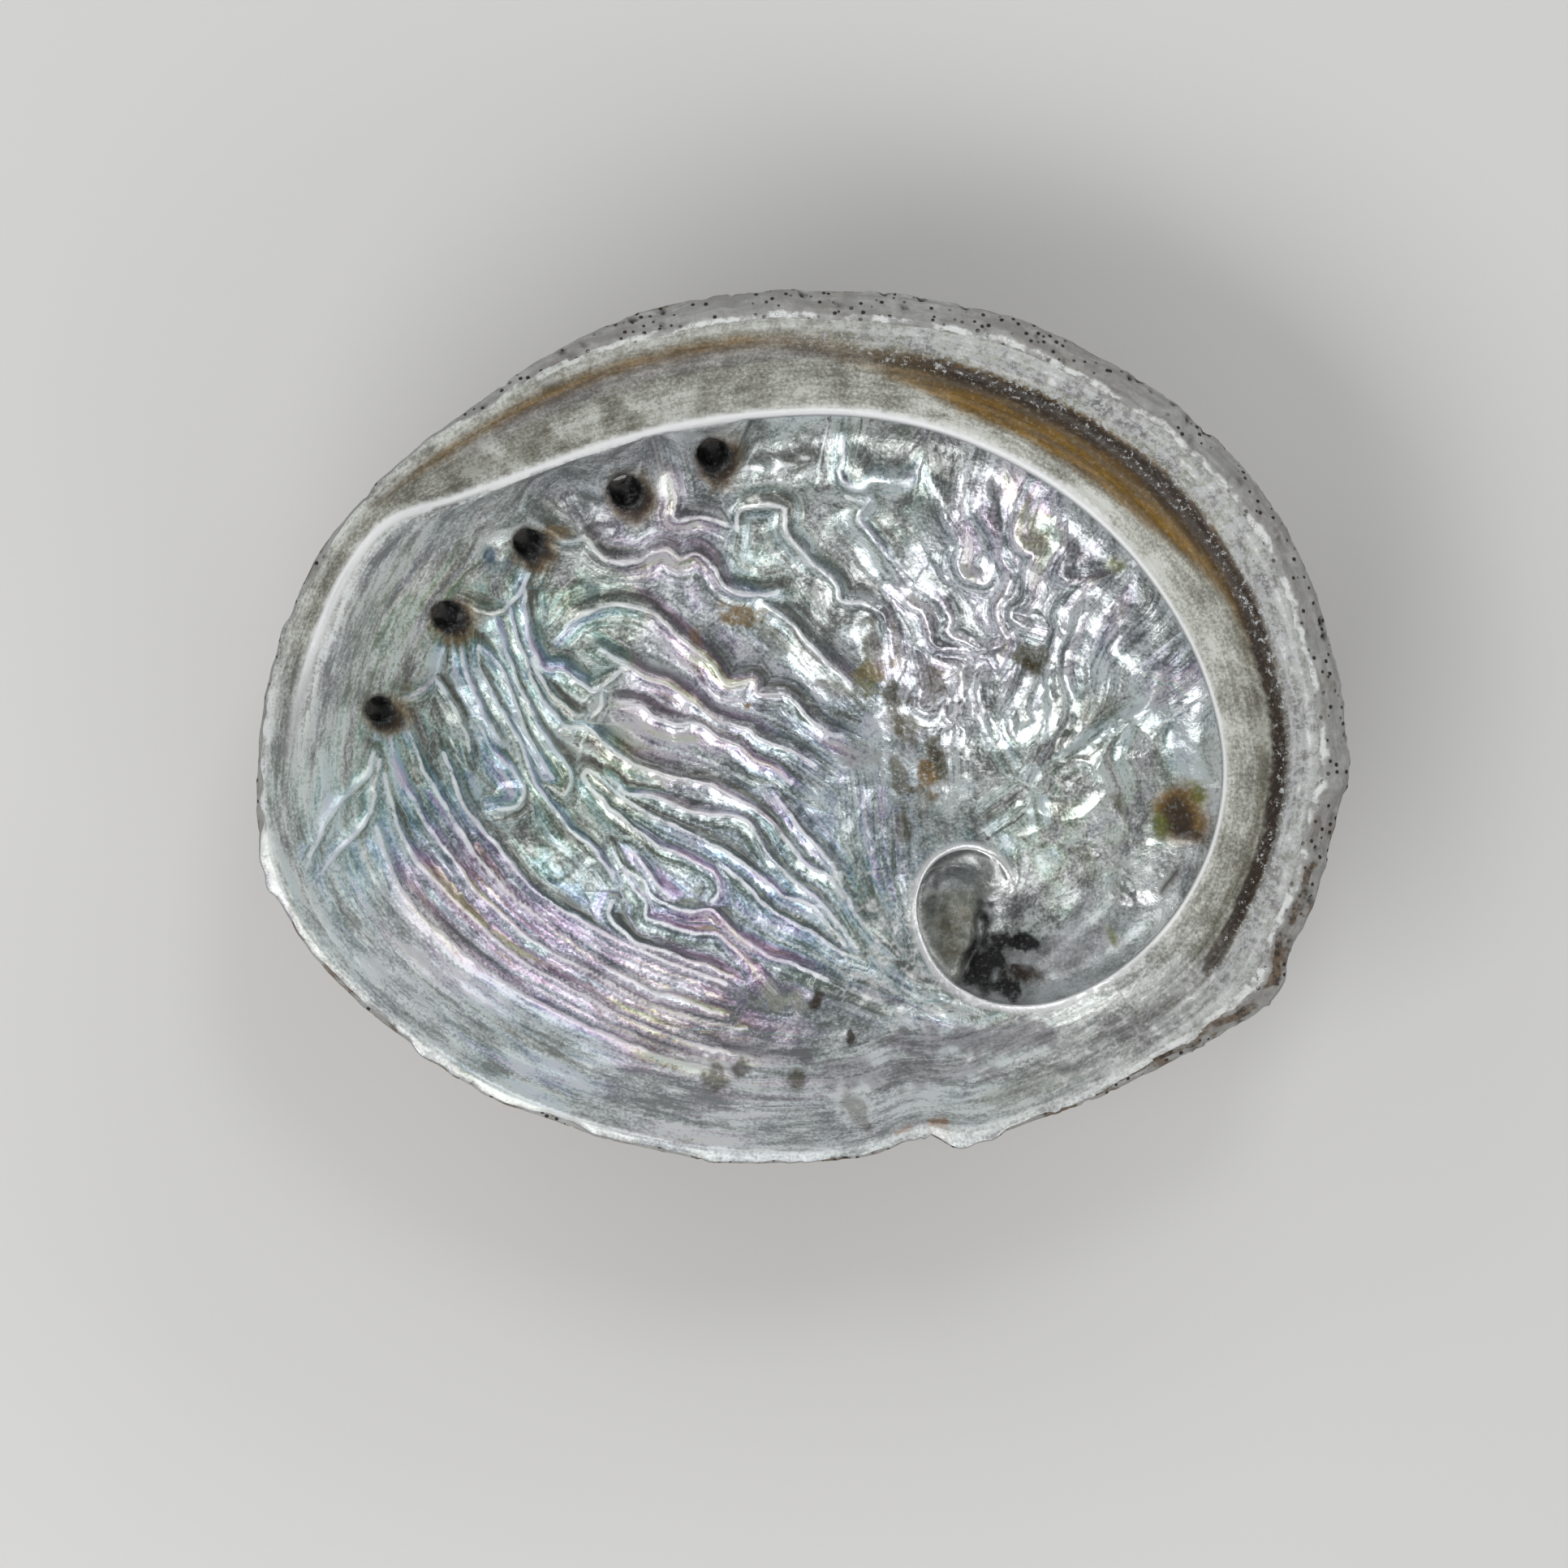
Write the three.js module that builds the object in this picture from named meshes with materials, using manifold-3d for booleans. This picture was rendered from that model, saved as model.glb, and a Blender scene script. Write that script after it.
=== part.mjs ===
// An abalone shell lying on its back with its mouth up: one ear-shaped bowl of solid shell.
// A broad shelf runs round the holed side of the mouth and ends in a curl over the spire's hollow.
// Millimetres, +Z up. The origin is under the middle of the shell, on the surface it stands on.
import * as THREE from "three";
import { mergeVertices } from "three/addons/utils/BufferGeometryUtils.js";
import Module from "manifold-3d";

// Driving dimensions.
const RIM_HEIGHT = 40.5; // mean height of the mouth's edge
const SHELF_SIDE = 0.75; // direction of the middle of the shelf, in radians
const RIM_WAVE = 1.6; // the two ends of the mouth stand this much higher than its sides
const WALL = 3.4; // thickness of the back
const WEAR = 0.9; // how much the back is rubbed flat where it rests
const BOWL_POWER = 2.45; // how quickly the bowl's floor steepens towards the mouth
const OUTER_LIP = 1.7; // thickness of the growing edge
const SHELF_LIP = 6.2; // thickness of the edge on the shelf's side, where the back bulges out
const UNDERCUT = 3.2; // how far the hollow runs back under the shelf
const WALL_BAND = 9; // width of floor that bends up to the shelf's edge
const CURL_BAND = 6; // the same under the curl
const CREST_FLANK = 0.75; // slope of the curl's outer side
const SPIRE_RISE = 5.2; // how far the coiled spire stands out of the back
const SPIRE_REACH = 27; // radius of the spire
const WHORL_GROWTH = 0.21; // natural logarithm of the spire's growth over one radian
const HOLE_RIDGE = 1.3; // height of the ridge that carries the holes
const HOLE_RIDGE_WIDTH = 6;
const HOLLOW_DEPTH = 3; // how far the spire's hollow goes below the bowl's floor
const HOLLOW_REACH = 9;

const COLUMNS = 96; // stations round the mouth
const HOLLOW_RINGS = 5; // rings from the hollow's middle to the curl
const FLOOR_RINGS = 16; // rings from the curl to the shelf's edge
const SHELF_RINGS = 5; // rings across the shelf
const BACK_RINGS = 15; // rings down the back

const BOWL_CENTRE = new THREE.Vector2(1, -1);
const SPIRE_CENTRE = new THREE.Vector2(24, -26);
const HOLLOW_CENTRE = new THREE.Vector2(28, -30);

// The edge of the mouth, seen from above, counter-clockwise from the spire's end.
const LIP = [
  [72, 0], [69.5, 12.5], [65.3, 24], [58.8, 34], [50.5, 42], [41, 48.2], [31, 53], [20.5, 56.2],
  [10, 57.8], [0, 58.3], [-10, 57.8], [-20.5, 56], [-30.5, 53], [-40.5, 48.6], [-50.5, 42.5],
  [-60.5, 34.6], [-68.5, 25], [-74, 13], [-77, 0], [-77.4, -13.5], [-73, -26.5], [-64, -37.2],
  [-54, -45.2], [-43.5, -51.6], [-32, -56], [-21, -58.8], [-10.5, -60.2], [0, -60.4], [9, -59.2],
  [16, -56.6], [24.5, -56.8], [34, -53.6], [43.5, -49.2], [53, -43], [61.5, -35.6], [66.8, -24.5],
  [70.6, -12.5],
];

// The shelf's inner edge, from the far end of the mouth round to the curl's tip.
// The third number is its height over the bowl's floor.
const SHELF_EDGE = [
  [-75, -13, 0], [-74, -4, 0.5], [-72.5, 5, 0.9], [-69.5, 14.5, 1.3], [-65.5, 23, 1.7],
  [-60, 29.5, 2.2], [-50.5, 33, 3], [-40, 37, 4], [-29, 41, 5], [-17, 44, 6], [-6, 45.4, 6.7],
  [6, 45.6, 7.2], [18, 43.5, 7.7], [30, 38.5, 8], [41, 31, 8.4], [50, 21, 8.6], [56.5, 9, 8.6],
  [59.5, -4, 8.6], [58, -15.5, 8.4], [52.5, -26.5, 8], [44.5, -34.5, 7.6], [35.5, -39, 7.2],
  [27, -39.3, 7.2], [20.5, -36, 7.8], [17, -30.5, 8.2], [16.2, -24.5, 7.8], [18.5, -19.5, 6.4],
  [23, -17.3, 4.6], [27.5, -18.5, 2.8], [29.8, -21.8, 1.3], [28.8, -24.8, 0],
];
const CURL_STARTS = 0.72; // share of the edge's length where the flat shelf gives way to the curl
const CURL_FULL = 0.86;

// The breathing holes, oldest first: place and radius.
const HOLES = [
  [-13.9, 40.6, 2.3], [-26.6, 35.2, 2.4], [-40.9, 27.6, 2.1], [-52.6, 17, 2.1], [-62.2, 3.2, 1.9],
];

// The holes' ridge on the back, from the growing edge into the spire.
const RIDGE_LINE = [
  [-71, -10], [-62.2, 3.2], [-52.6, 17], [-40.9, 27.6], [-26.6, 35.2], [-13.9, 40.6], [-1, 42.6],
  [11, 41.6], [23, 37.8], [34, 31.4], [43, 23], [49.4, 12.4], [52.6, 0], [51.5, -12], [46, -23],
  [38, -31],
];

const clamp = THREE.MathUtils.clamp;
const mix = THREE.MathUtils.lerp;
const smooth = THREE.MathUtils.smoothstep;
const TURN = 2 * Math.PI;

function spline(points, closed) {
  const at = points.map(([x, y, z = 0]) => new THREE.Vector3(x, y, z));
  return new THREE.CatmullRomCurve3(at, closed, "centripetal");
}

// The larger of a and b, with the join between them rounded over a width of soft.
function softMax(a, b, soft) {
  const h = clamp(0.5 + (a - b) / (2 * soft), 0, 1);
  return mix(b, a, h) + soft * h * (1 - h);
}

const lipCurve = spline(LIP, true);
const lipPoints = lipCurve.getSpacedPoints(720).slice(0, -1);
const edgeCurve = spline(SHELF_EDGE, false);
const edgePoints = edgeCurve.getSpacedPoints(400);
const ridgePoints = spline(RIDGE_LINE, false).getSpacedPoints(160);

// Distance from centre to the mouth's edge in a direction.
function lipRadius(centre) {
  const polar = lipPoints
    .map((p) => {
      const angle = Math.atan2(p.y - centre.y, p.x - centre.x);
      return [angle, Math.hypot(p.x - centre.x, p.y - centre.y)];
    })
    .sort((a, b) => a[0] - b[0]);
  return (angle) => {
    const a = THREE.MathUtils.euclideanModulo(angle + Math.PI, TURN) - Math.PI;
    let k = polar.findIndex((p) => p[0] > a);
    if (k < 0) k = 0;
    const before = polar[(k + polar.length - 1) % polar.length];
    const after = polar[k];
    const span = THREE.MathUtils.euclideanModulo(after[0] - before[0], TURN);
    const part = THREE.MathUtils.euclideanModulo(a - before[0], TURN);
    return mix(before[1], after[1], span ? part / span : 0);
  };
}

const bowlRadius = lipRadius(BOWL_CENTRE);
const spireRadius = lipRadius(SPIRE_CENTRE);

const rimHeight = (angle) => RIM_HEIGHT + RIM_WAVE * Math.cos(2 * angle);

// Share of the way from the bowl's centre to the mouth's edge, 0 to 1, and the direction.
function bowlPlace(x, y) {
  const dx = x - BOWL_CENTRE.x;
  const dy = y - BOWL_CENTRE.y;
  const angle = Math.atan2(dy, dx);
  const reach = bowlRadius(angle);
  return { angle, reach, share: Math.hypot(dx, dy) / reach };
}

// Height of the plain bowl, with no shelf or curl on it.
function bowlHeight(x, y) {
  const { angle, share } = bowlPlace(x, y);
  const floor = WALL - WEAR;
  return floor + (rimHeight(angle) - floor) * Math.pow(share, BOWL_POWER);
}

// How far the hollow goes below the plain bowl.
function hollowDepth(x, y) {
  const r = Math.hypot(x - HOLLOW_CENTRE.x, y - HOLLOW_CENTRE.y);
  return HOLLOW_DEPTH * (1 - smooth(r, 0, HOLLOW_REACH));
}

// The nearest point of a line to x, y: how far, on which side, and how far along.
function nearest(line, x, y) {
  let best = { distance: Infinity };
  for (let i = 0; i < line.length - 1; i++) {
    const a = line[i];
    const dx = line[i + 1].x - a.x;
    const dy = line[i + 1].y - a.y;
    const along = clamp(((x - a.x) * dx + (y - a.y) * dy) / (dx * dx + dy * dy), 0, 1);
    const ox = x - a.x - along * dx;
    const oy = y - a.y - along * dy;
    const distance = Math.hypot(ox, oy);
    if (distance < best.distance) {
      const side = Math.sign(dx * oy - dy * ox) || 1;
      const share = (i + along) / (line.length - 1);
      const rise = mix(a.z, line[i + 1].z, along);
      best = { distance, side, share, rise, x: x - ox, y: y - oy };
    }
  }
  return best;
}

// The inside of the shell over the plan point x, y. The edge line runs clockwise, so the bowl
// and the hollow lie on its right, where side is negative, and the shelf lies on its left.
function insidePoint(x, y) {
  const floor = bowlHeight(x, y) - hollowDepth(x, y);
  const near = nearest(edgePoints, x, y);
  const crest = bowlHeight(near.x, near.y) - hollowDepth(near.x, near.y) + near.rise;
  const curl = smooth(near.share, CURL_STARTS, CURL_FULL);
  const ends = smooth(near.share, 0, 0.1) * (1 - smooth(near.share, 0.97, 1));
  if (near.side > 0) {
    const place = bowlPlace(x, y);
    const toLip = Math.max(0, (1 - place.share) * place.reach);
    const across = near.distance / (near.distance + toLip + 1e-6);
    const shelf = mix(crest, rimHeight(place.angle), across);
    const flank = softMax(floor, crest - CREST_FLANK * near.distance, 1.2);
    return new THREE.Vector3(x, y, mix(floor, mix(shelf, flank, curl), ends));
  }
  const t = clamp(near.distance / mix(WALL_BAND, CURL_BAND, curl), 0, 1);
  const back = UNDERCUT * smooth(near.rise, 5, 8) * mix(1, 0.2, curl);
  const shift = (near.distance + 1.4 * back * Math.sin(Math.PI * t)) * (1 - smooth(t, 0.3, 1));
  const stands = smooth(near.rise, 1.5, 4.5);
  const push = ends * stands * Math.min(shift, near.distance + back);
  const wayX = (near.x - x) / (near.distance + 1e-6);
  const wayY = (near.y - y) / (near.distance + 1e-6);
  const z = mix(floor, mix(crest, floor, smooth(t, 0, 0.75)), ends);
  return new THREE.Vector3(x + wayX * push, y + wayY * push, z);
}

// How far the spire's coil stands out of the back.
function spireRelief(x, y) {
  const r = Math.hypot(x - SPIRE_CENTRE.x, y - SPIRE_CENTRE.y);
  const angle = Math.atan2(y - SPIRE_CENTRE.y, x - SPIRE_CENTRE.x);
  const turns = Math.log((r + 0.5) / SPIRE_REACH) / (WHORL_GROWTH * TURN) - angle / TURN;
  const whorl = turns - Math.floor(turns);
  const mound = SPIRE_RISE * (1 - smooth(r, 0.15 * SPIRE_REACH, SPIRE_REACH));
  const suture = 0.3 * Math.pow(Math.abs(2 * whorl - 1), 6);
  return mound * (1 - suture);
}

function backThickness(angle, share, x, y) {
  const shelfSide = smooth(Math.cos(angle - SHELF_SIDE), -0.25, 0.5);
  const edge = mix(OUTER_LIP, SHELF_LIP, shelfSide);
  const ridge = nearest(ridgePoints, x, y);
  const ridgeRise = HOLE_RIDGE * Math.exp(-((ridge.distance / HOLE_RIDGE_WIDTH) ** 2));
  const raised = ridgeRise * smooth(1 - share, 0, 0.1) + spireRelief(x, y);
  return mix(WALL, edge, smooth(share, 0.65, 0.95)) + raised;
}

// The back of the shell: the plain bowl's surface, set off outwards by the shell's thickness.
function backPoint(x, y) {
  const step = 0.5;
  const { angle, share } = bowlPlace(x, y);
  const slopeX = (bowlHeight(x + step, y) - bowlHeight(x - step, y)) / (2 * step);
  const slopeY = (bowlHeight(x, y + step) - bowlHeight(x, y - step)) / (2 * step);
  const up = new THREE.Vector3(-slopeX, -slopeY, 1).normalize();
  const thick = backThickness(angle, share, x, y);
  const at = new THREE.Vector3(x, y, bowlHeight(x, y)).addScaledVector(up, -thick);
  at.z = Math.max(at.z, 0);
  return at;
}

// Distance from the spire's centre to the edge line, for every angle it turns through.
const edgePolar = [];
for (const p of edgePoints) {
  let angle = Math.atan2(p.y - SPIRE_CENTRE.y, p.x - SPIRE_CENTRE.x);
  const last = edgePolar.length ? edgePolar[edgePolar.length - 1][0] : angle;
  while (angle - last > Math.PI) angle -= TURN;
  edgePolar.push([angle, Math.hypot(p.x - SPIRE_CENTRE.x, p.y - SPIRE_CENTRE.y)]);
}
const firstAngle = edgePolar[0][0];
const lastAngle = edgePolar[edgePolar.length - 1][0];

function edgeRadius(angle) {
  const a = clamp(angle, lastAngle, firstAngle);
  const k = clamp(edgePolar.findIndex((p) => p[0] <= a), 1, edgePolar.length - 1);
  const [a0, r0] = edgePolar[k - 1];
  const [a1, r1] = edgePolar[k];
  return mix(r0, r1, a0 === a1 ? 0 : (a - a0) / (a1 - a0));
}

// The two rings of the inside that follow the edge: the inner one lies on the curl, the outer
// one on the shelf's edge. They pass close by each other where one takes over from the other.
const SWITCH = -0.5 * Math.PI;
const RING_GAP = 0.7;

function ringRadii(angle) {
  const up = THREE.MathUtils.euclideanModulo(angle - SWITCH, TURN) + SWITCH;
  const reach = spireRadius(angle);
  let outer = edgeRadius(up);
  if (up > firstAngle) {
    const part = (up - firstAngle) / (SWITCH + TURN - firstAngle);
    const first = edgeRadius(firstAngle) / spireRadius(firstAngle);
    const last = (edgeRadius(SWITCH) + RING_GAP) / spireRadius(SWITCH);
    outer = reach * mix(first, last, part);
  } else {
    outer += RING_GAP * (1 - smooth(up, SWITCH, SWITCH + 0.3));
  }
  let inner = edgeRadius(up - TURN);
  if (up - TURN < lastAngle) {
    inner = mix(edgeRadius(SWITCH), edgeRadius(lastAngle), smooth(up, SWITCH, lastAngle + TURN));
  }
  return { inner, outer, reach };
}

function insideRing(k, angle) {
  const { inner, outer, reach } = ringRadii(angle);
  if (k <= HOLLOW_RINGS) return inner * (k / HOLLOW_RINGS);
  if (k <= HOLLOW_RINGS + FLOOR_RINGS) {
    const part = (k - HOLLOW_RINGS) / FLOOR_RINGS;
    return mix(inner, outer, 0.5 - 0.5 * Math.cos(Math.PI * part));
  }
  return mix(outer, reach, (k - HOLLOW_RINGS - FLOOR_RINGS) / SHELF_RINGS);
}

function shellGeometry() {
  const stations = lipCurve.getSpacedPoints(COLUMNS).slice(0, -1);
  const rings = HOLLOW_RINGS + FLOOR_RINGS + SHELF_RINGS;
  const loops = [];
  for (let k = 1; k <= rings; k++) {
    loops.push(stations.map((lip) => {
      const angle = Math.atan2(lip.y - SPIRE_CENTRE.y, lip.x - SPIRE_CENTRE.x);
      const r = insideRing(k, angle);
      if (k === rings) return insidePoint(lip.x, lip.y);
      return insidePoint(SPIRE_CENTRE.x + r * Math.cos(angle), SPIRE_CENTRE.y + r * Math.sin(angle));
    }));
  }
  const back = (share) => stations.map((lip) => backPoint(
    mix(BOWL_CENTRE.x, lip.x, share),
    mix(BOWL_CENTRE.y, lip.y, share),
  ));
  const edge = loops[loops.length - 1];
  const firstBack = back(1);
  loops.push(edge.map((p, i) => {
    const middle = p.clone().lerp(firstBack[i], 0.5);
    const out = new THREE.Vector3(p.x - BOWL_CENTRE.x, p.y - BOWL_CENTRE.y, 0).normalize();
    return middle.addScaledVector(out, 0.2 * p.distanceTo(firstBack[i]));
  }));
  loops.push(firstBack);
  for (let k = 1; k < BACK_RINGS; k++) loops.push(back(1 - k / BACK_RINGS));

  const positions = [];
  const index = [];
  const push = (p) => positions.push(p.x, p.y, p.z) / 3 - 1;
  const top = push(insidePoint(SPIRE_CENTRE.x, SPIRE_CENTRE.y));
  const ids = loops.map((loop) => loop.map(push));
  const bottom = push(backPoint(BOWL_CENTRE.x, BOWL_CENTRE.y));
  for (let i = 0; i < COLUMNS; i++) {
    const j = (i + 1) % COLUMNS;
    index.push(top, ids[0][i], ids[0][j]);
    for (let k = 0; k < loops.length - 1; k++) {
      const [a, b, c, d] = [ids[k][i], ids[k + 1][i], ids[k + 1][j], ids[k][j]];
      index.push(a, b, c, a, c, d);
    }
    const last = ids[ids.length - 1];
    index.push(last[i], bottom, last[j]);
  }
  const geometry = new THREE.BufferGeometry();
  geometry.setAttribute("position", new THREE.Float32BufferAttribute(positions, 3));
  geometry.setIndex(index);
  return geometry;
}

// A slightly tapered plug through the wall, square to the middle of its thickness.
function holePlug([x, y, radius]) {
  const inside = insidePoint(x, y);
  const step = 0.5;
  const slopeX = (bowlHeight(x + step, y) - bowlHeight(x - step, y)) / (2 * step);
  const slopeY = (bowlHeight(x, y + step) - bowlHeight(x, y - step)) / (2 * step);
  const up = new THREE.Vector3(-0.8 * slopeX, -0.8 * slopeY, 1).normalize();
  const plug = new THREE.CylinderGeometry(1.1 * radius, 0.9 * radius, 40, 16);
  plug.applyQuaternion(new THREE.Quaternion().setFromUnitVectors(new THREE.Vector3(0, 1, 0), up));
  plug.translate(inside.x, inside.y, inside.z);
  return plug;
}

const wasm = await Module();
wasm.setup();

function solidFrom(geometry) {
  const bare = geometry.clone();
  bare.deleteAttribute("normal");
  bare.deleteAttribute("uv");
  const merged = mergeVertices(bare, 1e-4);
  return new wasm.Manifold(new wasm.Mesh({
    numProp: 3,
    vertProperties: new Float32Array(merged.attributes.position.array),
    triVerts: new Uint32Array(merged.index.array),
  }));
}

function geometryFrom(solid) {
  const mesh = solid.getMesh();
  const geometry = new THREE.BufferGeometry();
  geometry.setAttribute("position", new THREE.BufferAttribute(mesh.vertProperties, 3));
  geometry.setIndex(new THREE.BufferAttribute(mesh.triVerts, 1));
  geometry.computeVertexNormals();
  return geometry;
}

let solid = solidFrom(shellGeometry());
for (const hole of HOLES) solid = solid.subtract(solidFrom(holePlug(hole)));

const shellMaterial = new THREE.MeshStandardMaterial({
  color: 0xb9bbb8,
  roughness: 0.35,
  metalness: 0.2,
});
const shell = new THREE.Mesh(geometryFrom(solid), shellMaterial);
shell.name = "abalone_shell";

const abalone = new THREE.Group();
abalone.add(shell);

export default abalone;
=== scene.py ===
# An abalone shell lying on its back with its mouth up, showing its mother-of-pearl.
# Lengths in the settings are millimetres; meshes are made in metres, in the frame's own axes.
import math

import bpy
import numpy as np
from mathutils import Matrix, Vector
from mathutils.geometry import delaunay_2d_cdt
from mathutils.kdtree import KDTree


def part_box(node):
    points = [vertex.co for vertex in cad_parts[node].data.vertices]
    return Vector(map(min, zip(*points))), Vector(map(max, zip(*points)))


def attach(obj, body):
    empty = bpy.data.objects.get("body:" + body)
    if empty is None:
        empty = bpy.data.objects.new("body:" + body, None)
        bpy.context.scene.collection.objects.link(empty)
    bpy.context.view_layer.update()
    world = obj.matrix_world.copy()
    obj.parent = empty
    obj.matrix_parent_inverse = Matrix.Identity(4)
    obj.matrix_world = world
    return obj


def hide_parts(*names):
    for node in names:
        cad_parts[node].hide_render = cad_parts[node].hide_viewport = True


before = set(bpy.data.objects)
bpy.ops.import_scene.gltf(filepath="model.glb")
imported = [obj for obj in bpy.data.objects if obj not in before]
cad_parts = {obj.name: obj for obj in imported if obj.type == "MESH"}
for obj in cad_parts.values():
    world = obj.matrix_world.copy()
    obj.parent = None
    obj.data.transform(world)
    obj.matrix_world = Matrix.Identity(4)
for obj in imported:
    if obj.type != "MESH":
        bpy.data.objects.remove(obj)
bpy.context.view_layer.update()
shellLow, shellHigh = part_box("abalone_shell")
print("frame loaded")

studio = {
    "viewWidth": 225.3,  # how much of the rim's plane the picture takes in
    "viewCentre": (-3.5, -7.6),
    "rimHeight": 38.0,
    "lens": 150.0,
    "sensor": 36.0,
    "sky": (0.30, 0.31, 0.32),
    "skyStrength": 0.8,
    "floor": (0.78, 0.77, 0.75),
    "floorReach": 6.0,
    "boxes": [  # direction and elevation in degrees, distance, width, height, brightness
        (228, 50, 0.8, 0.7, 0.42, 3.3), (305, 34, 0.9, 0.5, 0.3, 1.9), (135, 34, 0.9, 0.5, 0.3, 1.6),
        (55, 27, 0.9, 0.9, 0.34, 2.1), (75, 58, 0.9, 0.22, 0.22, 5.0),
    ],
}

form = {
    "length": 156.035,  # the shell's own length, which sets the scale of everything below
    "rim": 40.5,
    "rimWave": 1.6,
    "wall": 3.4,
    "wear": 0.9,
    "bowlPower": 2.45,
    "outerLip": 1.7,
    "shelfLip": 6.2,
    "shelfSide": 0.75,
    "undercut": 3.2,
    "wallBand": 9.0,
    "curlBand": 6.0,
    "crestFlank": 0.75,
    "crestSoft": 1.2,
    "undercutRise": (5, 8),  # heights of the shelf over which the undercut sets in
    "curlUndercut": 0.2,
    "curlStarts": 0.72,
    "curlFull": 0.86,
    "spireRise": 5.2,
    "spireReach": 27.0,
    "whorlGrowth": 0.21,
    "holeRidge": 1.3,
    "holeRidgeWidth": 6.0,
    "holeTube": 2.0,
    "holeTaper": 0.74,
    "closedHoleHeight": 1.1,
    "hollowDepth": 3.0,
    "hollowReach": 9.0,
    "bowlCentre": (1.0, -1.0),
    "spireCentre": (24.0, -26.0),
    "hollowCentre": (28.0, -30.0),
    "insideStep": 0.46,
    "shelfStep": 0.75,
    "coarseUpTo": 0.7,  # share of the shelf's edge beside which the coarse mesh lies
    "edgeStep": 0.55,
    "beadOffsets": (0.42, 0.9),
    "backStep": 1.05,
    "lipStations": 760,
}

lipLine = [
    (72, 0), (69.5, 12.5), (65.3, 24), (58.8, 34), (50.5, 42), (41, 48.2), (31, 53), (20.5, 56.2),
    (10, 57.8), (0, 58.3), (-10, 57.8), (-20.5, 56), (-30.5, 53), (-40.5, 48.6), (-50.5, 42.5),
    (-60.5, 34.6), (-68.5, 25), (-74, 13), (-77, 0), (-77.4, -13.5), (-73, -26.5), (-64, -37.2),
    (-54, -45.2), (-43.5, -51.6), (-32, -56), (-21, -58.8), (-10.5, -60.2), (0, -60.4), (9, -59.2),
    (16, -56.6), (24.5, -56.8), (34, -53.6), (43.5, -49.2), (53, -43), (61.5, -35.6), (66.8, -24.5),
    (70.6, -12.5),
]
shelfEdge = [
    (-75, -13, 0), (-74, -4, 0.5), (-72.5, 5, 0.9), (-69.5, 14.5, 1.3), (-65.5, 23, 1.7),
    (-60, 29.5, 2.2), (-50.5, 33, 3), (-40, 37, 4), (-29, 41, 5), (-17, 44, 6), (-6, 45.4, 6.7),
    (6, 45.6, 7.2), (18, 43.5, 7.7), (30, 38.5, 8), (41, 31, 8.4), (50, 21, 8.6), (56.5, 9, 8.6),
    (59.5, -4, 8.6), (58, -15.5, 8.4), (52.5, -26.5, 8), (44.5, -34.5, 7.6), (35.5, -39, 7.2),
    (27, -39.3, 7.2), (20.5, -36, 7.8), (17, -30.5, 8.2), (16.2, -24.5, 7.8), (18.5, -19.5, 6.4),
    (23, -17.3, 4.6), (27.5, -18.5, 2.8), (29.8, -21.8, 1.3), (28.8, -24.8, 0),
]
holes = [(-13.9, 40.6, 2.3), (-26.6, 35.2, 2.4), (-40.9, 27.6, 2.1), (-52.6, 17, 2.1), (-62.2, 3.2, 1.9)]
ridgeLine = [
    (-71, -10), (-62.2, 3.2), (-52.6, 17), (-40.9, 27.6), (-26.6, 35.2), (-13.9, 40.6), (-1, 42.6),
    (11, 41.6), (23, 37.8), (34, 31.4), (43, 23), (49.4, 12.4), (52.6, 0), (51.5, -12), (46, -23),
    (38, -31),
]

unit = (shellHigh.x - shellLow.x) / form["length"]  # metres to one millimetre of the drawing
drawingMiddle = np.array([-1.018, 0.785])


def smooth(x, low, high):
    t = np.clip((np.asarray(x, float) - low) / (high - low), 0, 1)
    return t * t * (3 - 2 * t)


def mix(a, b, t):
    return a + (b - a) * t


def softMax(a, b, soft):
    h = np.clip(0.5 + (a - b) / (2 * soft), 0, 1)
    return mix(b, a, h) + soft * h * (1 - h)


def bell(distance, width):
    return np.exp(-((distance / width) ** 2))


def between(x, start, full, ends, gone):
    return smooth(x, start, full) * (1 - smooth(x, ends, gone))


def awayFrom(p, x, y, stretch=1):
    return np.hypot((p[:, 0] - x) / stretch, p[:, 1] - y)


def throughPoints(points, closed=False, step=0.5, count=None):
    p = np.array([tuple(q) + (0,) * (3 - len(q)) for q in points], float)
    n = len(p)
    pieces = []
    for i in range(n if closed else n - 1):
        if closed:
            a, b, c, d = p[(i - 1) % n], p[i], p[(i + 1) % n], p[(i + 2) % n]
        else:
            b, c = p[i], p[i + 1]
            a = p[i - 1] if i else 2 * b - c
            d = p[i + 2] if i + 2 < n else 2 * c - b
        d0, d1, d2 = (max(1e-4, np.linalg.norm(v - u) ** 0.5) for u, v in ((a, b), (b, c), (c, d)))
        t1 = ((b - a) / d0 - (c - a) / (d0 + d1) + (c - b) / d1) * d1
        t2 = ((c - b) / d1 - (d - b) / (d1 + d2) + (d - c) / d2) * d1
        t = np.linspace(0, 1, 40, endpoint=False)[:, None]
        curve = (
            b + t1 * t + (3 * (c - b) - 2 * t1 - t2) * t**2 + (2 * (b - c) + t1 + t2) * t**3
        )
        pieces.append(curve)
    fine = np.vstack(pieces + [p[:1] if closed else p[-1:]])
    lengths = np.r_[0, np.cumsum(np.linalg.norm(np.diff(fine, axis=0), axis=1))]
    if count is None:
        count = max(2, int(round(lengths[-1] / step)) + 1)
    at = np.linspace(0, lengths[-1], count)
    return np.column_stack([np.interp(at, lengths, fine[:, k]) for k in range(3)])


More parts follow.
